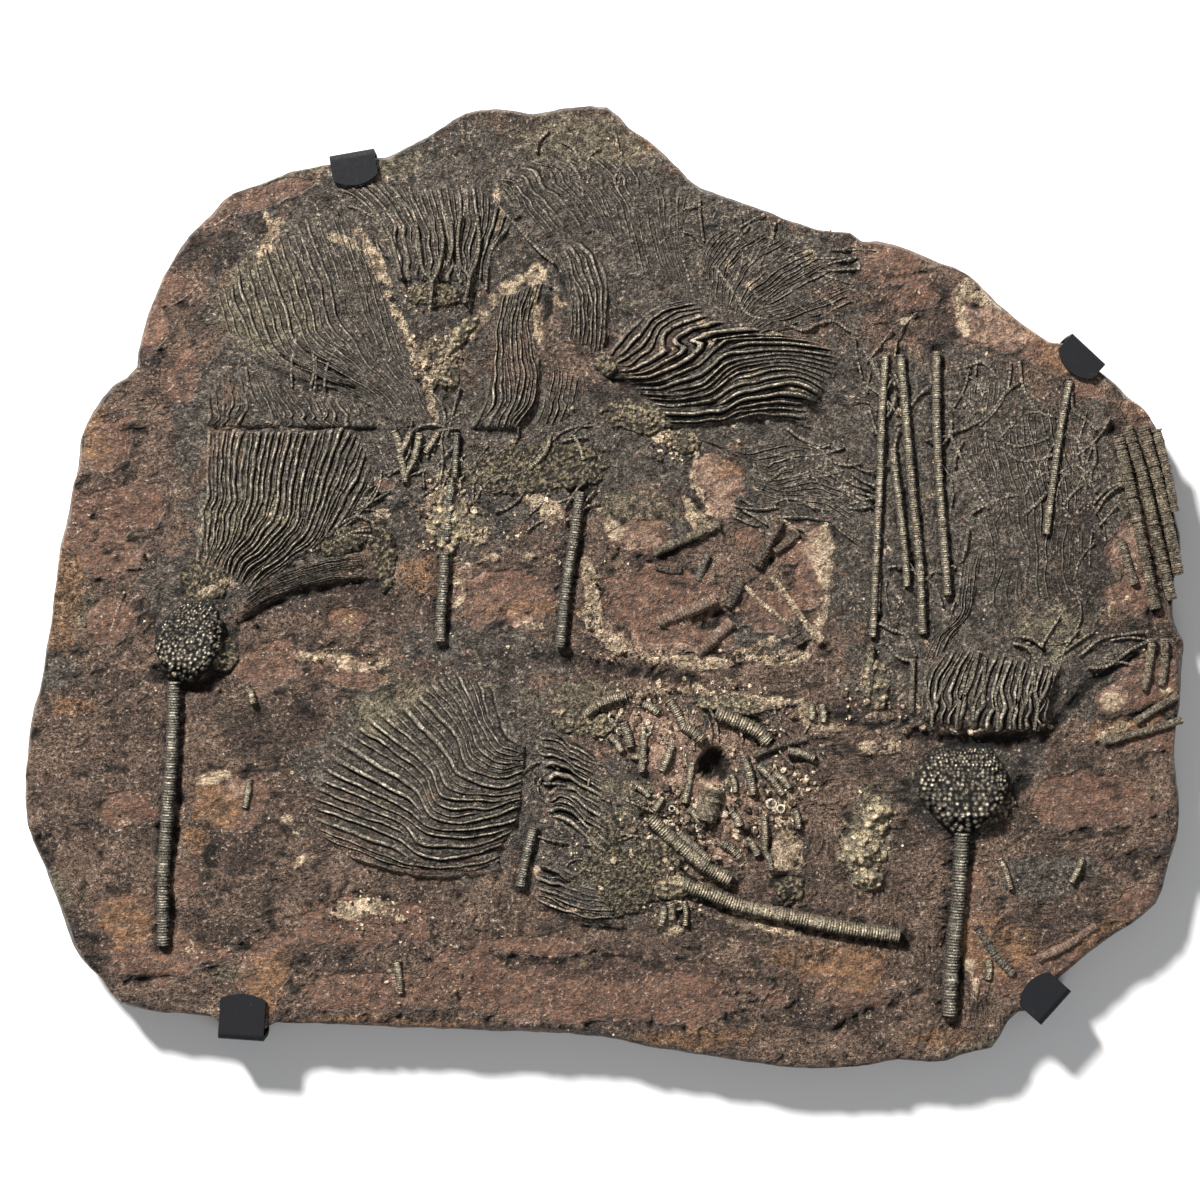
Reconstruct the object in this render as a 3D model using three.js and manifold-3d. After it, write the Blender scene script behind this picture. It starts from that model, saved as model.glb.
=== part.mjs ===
// Crinoid fossil slab held by four black flat-bar clips.
//
// Millimetres, +Z up. The slab lies on its back with the fossils facing up, on the back legs of
// the clips. The origin is the centre of its plan box, in the plane under those legs.
// +X runs along the slab's length and +Y towards its domed upper edge.

import * as THREE from 'three';
import { mergeVertices } from 'three/addons/utils/BufferGeometryUtils.js';
import Module from 'manifold-3d';

const wasm = await Module();
wasm.setup();

// ---------------------------------------------------------------- driving dimensions

const BAR_WIDTH = 40; // flat steel bar that the clips are bent from
const BAR_THICK = 4;
const BEND_RADIUS = 6; // outside of both bends
const LEG_LENGTH = 60; // back leg, under the slab
const SCREW_HOLE = 6.5; // diameter, in the back leg
const SCREW_INSET = 38; // from the fold to the hole's centre
const FIT_GAP = 0.3; // between the steel and the rock

const SLAB_THICK = 40; // at the rim
const BACK_Z = BAR_THICK + FIT_GAP;
const FRONT_Z = BACK_Z + SLAB_THICK;
const TONGUE_Z = FRONT_Z + FIT_GAP;

const OUTLINE_STEP = 14; // spacing of the slab's edge points
const GRID_STEP = 27; // spacing of the front face's grid
const STEM_SIDES = 8;
const STEM_STEP = 34; // spacing of the rings along a stem

// Edge of the slab, clockwise from its leftmost corner.
const OUTLINE = [
  [-516, -171], [-510, -118], [-500, -77], [-494, -30], [-484, 37], [-471, 102], [-464, 140],
  [-453, 162], [-438, 180], [-419, 192], [-416, 214], [-406, 245], [-388, 286], [-374, 308],
  [-352, 331], [-333, 351], [-300, 362], [-280, 370], [-242, 378], [-200, 383], [-171, 395],
  [-140, 414], [-122, 424], [-75, 426], [-61, 423], [-32, 429], [8, 428], [19, 414], [50, 392],
  [64, 377], [80, 361], [118, 346], [167, 328], [199, 318], [220, 317], [226, 310], [250, 309],
  [290, 294], [330, 277], [354, 252], [385, 228], [423, 204], [455, 184], [473, 165], [484, 159],
  [501, 122], [498, 112], [511, 62], [516, 37], [510, 10], [510, -33], [516, -43], [516, -82],
  [510, -153], [515, -204], [512, -223], [500, -261], [496, -279], [473, -299], [440, -322],
  [413, -344], [372, -378], [359, -391], [348, -410], [330, -415], [296, -424], [256, -422],
  [233, -428], [173, -429], [99, -420], [32, -409], [-9, -401], [-64, -398], [-135, -395],
  [-223, -391], [-296, -388], [-355, -383], [-425, -374], [-436, -368], [-443, -355],
  [-468, -330], [-481, -297], [-494, -264], [-504, -239], [-513, -216],
];

// Where each clip is folded over the edge: the middle of its outer face, the direction it
// points in over the slab, the length of its front tongue and how far the tongue's end bows out.
const CLIPS = [
  { name: 'clip_top_left', x: -223, y: 385, inward: -80, tongue: 30, bow: 7 },
  { name: 'clip_top_right', x: 430, y: 211, inward: -133, tongue: 27, bow: 9 },
  { name: 'clip_bottom_left', x: -321, y: -401, inward: 86, tongue: 41, bow: 5 },
  { name: 'clip_bottom_right', x: 401, y: -373, inward: 138, tongue: 34, bow: 8 },
];

// Broad swells of the front face, under the crowns and the heaps of broken stems.
const SWELLS = [
  { name: 'left crown', x: -285, y: 62, rx: 88, ry: 82, turn: -15, rise: 6 },
  { name: 'upper left crown', x: -240, y: 235, rx: 110, ry: 105, turn: 0, rise: 5 },
  { name: 'top crown', x: -140, y: 315, rx: 85, ry: 62, turn: 0, rise: 5 },
  { name: 'upright crown', x: -62, y: 200, rx: 62, ry: 80, turn: 0, rise: 5 },
  { name: 'long armed crown', x: 105, y: 195, rx: 125, ry: 62, turn: 12, rise: 9 },
  { name: 'lower crown', x: -165, y: -165, rx: 112, ry: 100, turn: 0, rise: 7 },
  { name: 'rough crown', x: 5, y: -235, rx: 92, ry: 80, turn: -12, rise: 7 },
  { name: 'right crown', x: 335, y: -85, rx: 78, ry: 50, turn: 0, rise: 10 },
  { name: 'stem heap', x: 110, y: -165, rx: 100, ry: 80, turn: 0, rise: 5 },
  { name: 'thin stem bed', x: 290, y: 90, rx: 100, ry: 120, turn: 0, rise: 4 },
  { name: 'hollow', x: 95, y: -5, rx: 105, ry: 66, turn: 0, rise: -4 },
];

// Cups that the crowns grow from: flattened domes set in the rock.
const CUPS = [
  { name: 'left cup', x: -366, y: -47, rx: 33, ry: 38, turn: 8, rise: 13 },
  { name: 'right cup', x: 319, y: -176, rx: 43, ry: 36, turn: 0, rise: 14 },
];

// Stems, each along its middle line, and their diameters.
const STEMS = [
  { name: 'left stem', width: 15, line: [[-379, -86], [-385, -180], [-389, -250], [-391, -320]] },
  { name: 'right stem', width: 14, line: [[317, -214], [313, -270], [308, -330], [304, -381]] },
  { name: 'middle stem', width: 13, line: [[-134, 100], [-137, 60], [-141, 20], [-145, -49]] },
  { name: 'long stem', width: 13, line: [[-21, 85], [-27, 40], [-34, -5], [-41, -55]] },
  { name: 'curved stem', width: 14, line: [[80, -266], [140, -284], [200, -299], [262, -307]] },
  { name: 'slant stem', width: 13, line: [[40, -206], [70, -232], [98, -256], [124, -270]] },
  { name: 'short stem', width: 11, line: [[-62, -212], [-69, -240], [-76, -268]] },
  { name: 'thin stem a', width: 8, line: [[249, 205], [244, 120], [241, 30], [238, -40]] },
  { name: 'thin stem b', width: 9, line: [[262, 205], [268, 140], [278, 40], [282, -44]] },
  { name: 'thin stem c', width: 9, line: [[294, 205], [294, 140], [300, 60], [304, -5]] },
  { name: 'edge stem', width: 9, line: [[412, 180], [404, 140], [396, 90], [391, 48]] },
  { name: 'right bundle a', width: 10, line: [[455, 136], [466, 90], [480, 30], [490, -10]] },
  { name: 'right bundle b', width: 10, line: [[464, 142], [480, 90], [490, 40], [502, 0]] },
  { name: 'right bundle c', width: 10, line: [[478, 142], [488, 100], [500, 50], [507, 15]] },
];

// ---------------------------------------------------------------- solids

// A closed three.js geometry as a manifold solid.
function toSolid(geometry) {
  const bare = geometry.clone();
  bare.deleteAttribute('normal');
  bare.deleteAttribute('uv');
  const merged = mergeVertices(bare, 1e-4);
  return new wasm.Manifold(new wasm.Mesh({
    numProp: 3,
    vertProperties: Float32Array.from(merged.attributes.position.array),
    triVerts: Uint32Array.from(merged.index.array),
  }));
}

function toGeometry(solid) {
  const mesh = solid.getMesh();
  const geometry = new THREE.BufferGeometry();
  geometry.setAttribute('position', new THREE.BufferAttribute(mesh.vertProperties, 3));
  geometry.setIndex(new THREE.BufferAttribute(mesh.triVerts, 1));
  geometry.computeVertexNormals();
  return geometry;
}

// A body with a side wall through every ring of points and a fan of faces at each end.
function ringSolid(rings) {
  const count = rings[0].length;
  const vertices = rings.flat().flatMap((point) => [point.x, point.y, point.z]);
  const faces = [];
  for (let level = 0; level + 1 < rings.length; level += 1) {
    for (let side = 0; side < count; side += 1) {
      const next = (side + 1) % count;
      const low = level * count;
      const high = low + count;
      faces.push(low + side, low + next, high + next);
      faces.push(low + side, high + next, high + side);
    }
  }
  const bottom = vertices.length / 3;
  const top = bottom + 1;
  const lastRing = (rings.length - 1) * count;
  vertices.push(0, 0, rings[0][0].z);
  vertices.push(0, 0, rings.at(-1)[0].z);
  for (let side = 0; side < count; side += 1) {
    const next = (side + 1) % count;
    faces.push(bottom, next, side);
    faces.push(top, lastRing + side, lastRing + next);
  }
  const geometry = new THREE.BufferGeometry();
  geometry.setAttribute('position', new THREE.Float32BufferAttribute(vertices, 3));
  geometry.setIndex(faces);
  return toSolid(geometry);
}

function boxSolid(width, depth, height, matrix) {
  return toSolid(new THREE.BoxGeometry(width, depth, height).applyMatrix4(matrix));
}

// ---------------------------------------------------------------- clips

// Takes a clip's own axes (u over the slab, v along the fold, z up) to the part's.
function clipMatrix(clip) {
  const turn = new THREE.Matrix4().makeRotationZ(THREE.MathUtils.degToRad(clip.inward));
  return turn.setPosition(clip.x, clip.y, 0);
}

// Side view of the bent bar: back leg, arm up the edge of the slab, tongue over its front.
function barProfile(clip) {
  const outer = BEND_RADIUS;
  const inner = BEND_RADIUS - BAR_THICK;
  const top = TONGUE_Z + BAR_THICK;
  const shape = new THREE.Shape();
  shape.moveTo(LEG_LENGTH, 0);
  shape.lineTo(LEG_LENGTH, BAR_THICK);
  shape.lineTo(outer, BAR_THICK);
  shape.absarc(outer, outer, inner, -Math.PI / 2, Math.PI, true);
  shape.lineTo(BAR_THICK, top - outer);
  shape.absarc(outer, top - outer, inner, Math.PI, Math.PI / 2, true);
  shape.lineTo(clip.tongue, TONGUE_Z);
  shape.lineTo(clip.tongue, top);
  shape.lineTo(outer, top);
  shape.absarc(outer, top - outer, outer, Math.PI / 2, Math.PI, false);
  shape.lineTo(0, outer);
  shape.absarc(outer, outer, outer, Math.PI, Math.PI * 1.5, false);
  return shape;
}

// Plan of a bar's end that bows out by bow over its width.
function bowedPlan(length, bow) {
  const half = BAR_WIDTH / 2;
  const radius = (half * half + bow * bow) / (2 * bow);
  const reach = Math.asin(half / radius);
  const shape = new THREE.Shape();
  shape.moveTo(-1, half);
  shape.lineTo(-1, -half);
  shape.lineTo(length - bow, -half);
  shape.absarc(length - radius, 0, radius, -reach, reach, false);
  return shape;
}

// The part of a bar between two heights, with its end cut to the bowed plan.
function bowedBand(length, bow, low, high) {
  const plan = new THREE.ExtrudeGeometry(bowedPlan(length, bow), {
    depth: high - low, bevelEnabled: false, curveSegments: 6,
  });
  return toSolid(plan.translate(0, 0, low));
}

function clipGeometry(clip) {
  const bar = new THREE.ExtrudeGeometry(barProfile(clip), {
    depth: BAR_WIDTH, bevelEnabled: false, curveSegments: 4,
  });
  bar.rotateX(Math.PI / 2);
  bar.translate(0, BAR_WIDTH / 2, 0);
  const middle = FRONT_Z / 2;
  const plans = bowedBand(LEG_LENGTH, clip.bow, -1, middle)
    .add(bowedBand(clip.tongue, clip.bow, middle, TONGUE_Z + 2 * BAR_THICK));
  const hole = new THREE.CylinderGeometry(SCREW_HOLE / 2, SCREW_HOLE / 2, 3 * BAR_THICK, 16);
  hole.rotateX(Math.PI / 2);
  hole.translate(SCREW_INSET, 0, 0);
  return toGeometry(toSolid(bar).intersect(plans).subtract(toSolid(hole)));
}

// ---------------------------------------------------------------- slab

function smoothStep(from, to, value) {
  const t = Math.min(Math.max((value - from) / (to - from), 0), 1);
  return t * t * (3 - 2 * t);
}

// Distance from the middle of an ellipse, 1 on its edge.
function ellipseReach(shape, x, y) {
  const turn = THREE.MathUtils.degToRad(shape.turn);
  const dx = x - shape.x;
  const dy = y - shape.y;
  const along = dx * Math.cos(turn) + dy * Math.sin(turn);
  const across = dy * Math.cos(turn) - dx * Math.sin(turn);
  return Math.hypot(along / shape.rx, across / shape.ry);
}

// Distance over the slab from a clip's fold, and along the fold from the clip's middle.
function fromFold(clip, x, y) {
  const turn = THREE.MathUtils.degToRad(clip.inward);
  const dx = x - clip.x;
  const dy = y - clip.y;
  return {
    over: dx * Math.cos(turn) + dy * Math.sin(turn),
    along: dy * Math.cos(turn) - dx * Math.sin(turn),
  };
}

// Height of the front face: gentle waves and swells, level under the clips' tongues.
function frontHeight(x, y) {
  const waves = 1.6 * Math.sin(x / 61 + 1) * Math.cos(y / 73) + 0.9 * Math.sin((x + 2 * y) / 47);
  const swells = SWELLS.reduce(
    (sum, swell) => sum + swell.rise * (1 - smoothStep(0.55, 1.15, ellipseReach(swell, x, y))),
    0,
  );
  const level = CLIPS.reduce((least, clip) => {
    const { over, along } = fromFold(clip, x, y);
    return Math.min(least, smoothStep(45, 90, Math.hypot(over - 15, along)));
  }, 1);
  return FRONT_Z + level * (waves + swells);
}

// Edge points at even steps. Behind a clip the rock reaches out to the arm.
function edgePoints() {
  const corners = OUTLINE.map(([x, y]) => new THREE.Vector3(x, y, 0));
  const curve = new THREE.CatmullRomCurve3(corners, true, 'centripetal');
  const count = Math.round(curve.getLength() / OUTLINE_STEP);
  const points = curve.getSpacedPoints(count).slice(0, count).reverse();
  const seat = BAR_THICK + 2 * FIT_GAP;
  for (const point of points) {
    for (const clip of CLIPS) {
      const { over, along } = fromFold(clip, point.x, point.y);
      if (Math.abs(along) < BAR_WIDTH * 0.45 && Math.abs(over) < BAR_WIDTH) {
        const turn = THREE.MathUtils.degToRad(clip.inward);
        point.x += (seat - over) * Math.cos(turn);
        point.y += (seat - over) * Math.sin(turn);
      }
    }
  }
  return points;
}

// The slab's broken side: widest below the middle, drawn in at the sawn back and at the front.
function rimSolid() {
  const edge = edgePoints();
  const levels = [
    { z: BACK_Z, inset: 8, rough: 5 },
    { z: BACK_Z + 9, inset: 2, rough: 2 },
    { z: BACK_Z + 22, inset: 0, rough: 0 },
    { z: FRONT_Z - 6, inset: 1.5, rough: 2 },
    { z: FRONT_Z + 1, inset: 6, rough: 4 },
    { z: FRONT_Z + 7, inset: 22, rough: 6 },
    { z: FRONT_Z + 60, inset: 24, rough: 6 },
  ];
  return ringSolid(levels.map(({ z, inset, rough }) => edge.map((point, index) => {
    const wave = 0.5 + 0.5 * Math.sin(index * 0.9 + Math.sin(index * 0.37) * 3 + z);
    const reach = point.length();
    const scale = 1 - (inset + rough * wave) / reach;
    return new THREE.Vector3(point.x * scale, point.y * scale, z);
  })));
}

// A deep block whose top follows the front face.
function frontSolid() {
  const width = 1100;
  const depth = 920;
  const block = new THREE.BoxGeometry(
    width, depth, 2,
    Math.round(width / GRID_STEP), Math.round(depth / GRID_STEP), 1,
  );
  const position = block.attributes.position;
  for (let index = 0; index < position.count; index += 1) {
    const height = position.getZ(index) > 0
      ? frontHeight(position.getX(index), position.getY(index))
      : -1;
    position.setZ(index, height);
  }
  return toSolid(block);
}

// A flattened dome, sunk to its widest line in the front face.
function cupSolid(cup) {
  const dome = new THREE.SphereGeometry(1, 18, 12);
  dome.rotateX(Math.PI / 2);
  dome.scale(cup.rx, cup.ry, cup.rise);
  dome.rotateZ(THREE.MathUtils.degToRad(cup.turn));
  dome.translate(cup.x, cup.y, frontHeight(cup.x, cup.y));
  return toSolid(dome);
}

// A stem lying a little over half out of the front face.
function stemSolid(stem) {
  const radius = stem.width / 2;
  const plan = new THREE.CatmullRomCurve3(stem.line.map(([x, y]) => new THREE.Vector3(x, y, 0)));
  const steps = Math.max(2, Math.round(plan.getLength() / STEM_STEP));
  const bed = plan.getSpacedPoints(steps).map(
    (point) => point.setZ(frontHeight(point.x, point.y) + radius * 0.15),
  );
  const section = new THREE.Shape();
  for (let side = 0; side < STEM_SIDES; side += 1) {
    const angle = (side / STEM_SIDES) * 2 * Math.PI;
    section[side ? 'lineTo' : 'moveTo'](radius * Math.cos(angle), radius * Math.sin(angle));
  }
  return toSolid(new THREE.ExtrudeGeometry(section, {
    steps, extrudePath: new THREE.CatmullRomCurve3(bed),
  }));
}

// Room for a clip's arm and tongue, with the fitting gap round them.
function clipRoom(clip) {
  const width = BAR_WIDTH + 2 * FIT_GAP;
  const armDepth = BAR_THICK + FIT_GAP + 5;
  const arm = new THREE.Matrix4()
    .makeTranslation(BAR_THICK + FIT_GAP - armDepth / 2, 0, FRONT_Z / 2);
  const tongueLength = clip.tongue + 6;
  const tongueHeight = 20;
  const tongue = new THREE.Matrix4()
    .makeTranslation(tongueLength / 2 - 4, 0, FRONT_Z + tongueHeight / 2);
  const place = clipMatrix(clip);
  return boxSolid(armDepth, width, FRONT_Z * 2, place.clone().multiply(arm))
    .add(boxSolid(tongueLength, width, tongueHeight, place.clone().multiply(tongue)));
}

function slabGeometry() {
  let solid = rimSolid().intersect(frontSolid());
  for (const piece of [...CUPS.map(cupSolid), ...STEMS.map(stemSolid)]) {
    solid = solid.add(piece);
  }
  for (const clip of CLIPS) {
    solid = solid.subtract(clipRoom(clip));
  }
  return toGeometry(solid);
}

// ---------------------------------------------------------------- the part

const rock = new THREE.MeshStandardMaterial({ color: 0x5c4f45, roughness: 0.9, metalness: 0 });
const blackSteel = new THREE.MeshStandardMaterial({ color: 0x1e1f23, roughness: 0.5, metalness: 0.6 });

const fossil = new THREE.Group();

const slab = new THREE.Mesh(slabGeometry(), rock);
slab.name = 'slab';
fossil.add(slab);

for (const clip of CLIPS) {
  const mesh = new THREE.Mesh(clipGeometry(clip), blackSteel.clone());
  mesh.name = clip.name;
  mesh.position.set(clip.x, clip.y, 0);
  mesh.rotation.z = THREE.MathUtils.degToRad(clip.inward);
  fossil.add(mesh);
}

// Keep the origin in the middle of the plan box.
const middle = new THREE.Box3().setFromObject(fossil).getCenter(new THREE.Vector3());
fossil.position.set(-middle.x, -middle.y, 0);

export default fossil;
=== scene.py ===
# Looks of the crinoid fossil slab: rock, crowns, cups, stems, broken bits and clips.
# Places and sizes are millimetres in the frame's axes, and become metres when a mesh is made.
# The floor, the lights and the camera are in metres.
import math

import bpy
import numpy as np
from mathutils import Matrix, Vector
from mathutils.bvhtree import BVHTree


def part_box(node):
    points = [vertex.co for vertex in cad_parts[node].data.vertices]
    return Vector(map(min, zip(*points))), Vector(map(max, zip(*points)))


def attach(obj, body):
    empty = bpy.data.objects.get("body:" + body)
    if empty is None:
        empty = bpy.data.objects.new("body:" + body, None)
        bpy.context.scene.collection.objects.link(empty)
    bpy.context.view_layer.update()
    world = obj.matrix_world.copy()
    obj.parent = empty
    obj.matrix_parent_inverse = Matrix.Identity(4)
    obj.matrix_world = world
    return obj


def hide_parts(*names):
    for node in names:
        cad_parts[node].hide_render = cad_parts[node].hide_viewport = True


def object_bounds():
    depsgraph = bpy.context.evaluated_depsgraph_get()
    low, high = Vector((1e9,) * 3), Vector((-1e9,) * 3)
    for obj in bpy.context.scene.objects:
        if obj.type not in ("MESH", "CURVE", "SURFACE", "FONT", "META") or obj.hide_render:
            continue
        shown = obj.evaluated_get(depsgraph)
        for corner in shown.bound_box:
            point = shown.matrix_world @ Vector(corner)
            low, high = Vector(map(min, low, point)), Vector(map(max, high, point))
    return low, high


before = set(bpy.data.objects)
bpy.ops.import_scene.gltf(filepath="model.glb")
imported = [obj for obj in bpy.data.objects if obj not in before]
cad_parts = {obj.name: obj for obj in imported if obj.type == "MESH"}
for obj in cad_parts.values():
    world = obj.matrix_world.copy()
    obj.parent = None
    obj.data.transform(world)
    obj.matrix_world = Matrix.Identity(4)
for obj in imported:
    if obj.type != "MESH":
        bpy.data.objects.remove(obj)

CAD_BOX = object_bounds()
MM = 0.001
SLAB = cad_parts["slab"]
CLIPS = ["clip_top_left", "clip_top_right", "clip_bottom_left", "clip_bottom_right"]

FACE_CELLS = 256  # cells along each side of the face's grid, so that its edge halves evenly
GROUND_STEP = 4  # spacing of the heights read from the frame
TOP_HEIGHT = CAD_BOX[1].z / MM - 0.1  # nothing rises over the frame
RIM_HEIGHT = 43  # the face's height along its rim
RIM_LEVEL = RIM_HEIGHT - 0.7  # where the face's outline is read off the frame's side
CORE_HEIGHT = 22  # how deep in the rock the crowns and cups are closed
ROW_STEP = 2.8  # spacing of a crown's rows along its arms
CUP_STEP = 0.78  # spacing of a cup's grid
SIDE_RADIUS = 480  # about the slab's mean radius, which turns an angle into a length along its side
BACK_SHRINK = 0.86  # size of each ring of the back, against the ring outside it
BACK_CORNERS = 36  # the back's rings halve their corners until they have no more than this
FAR = 1e9  # farther than any distance or height here
UNCOVERED = 99  # stands over the face where no crown or cup covers it
ABOVE_ALL = 0.2  # metres; rays go down from here
FLOOR_SIZE = 80  # metres; the floor reaches past every view
CAMERA_DISTANCE = 2.6  # metres, over the frame's top
CAMERA_MARGIN = 1.0225  # width of the view against the frame's
CAMERA_PLACE = (-0.0035, -0.0119)  # metres, in plan

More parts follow.
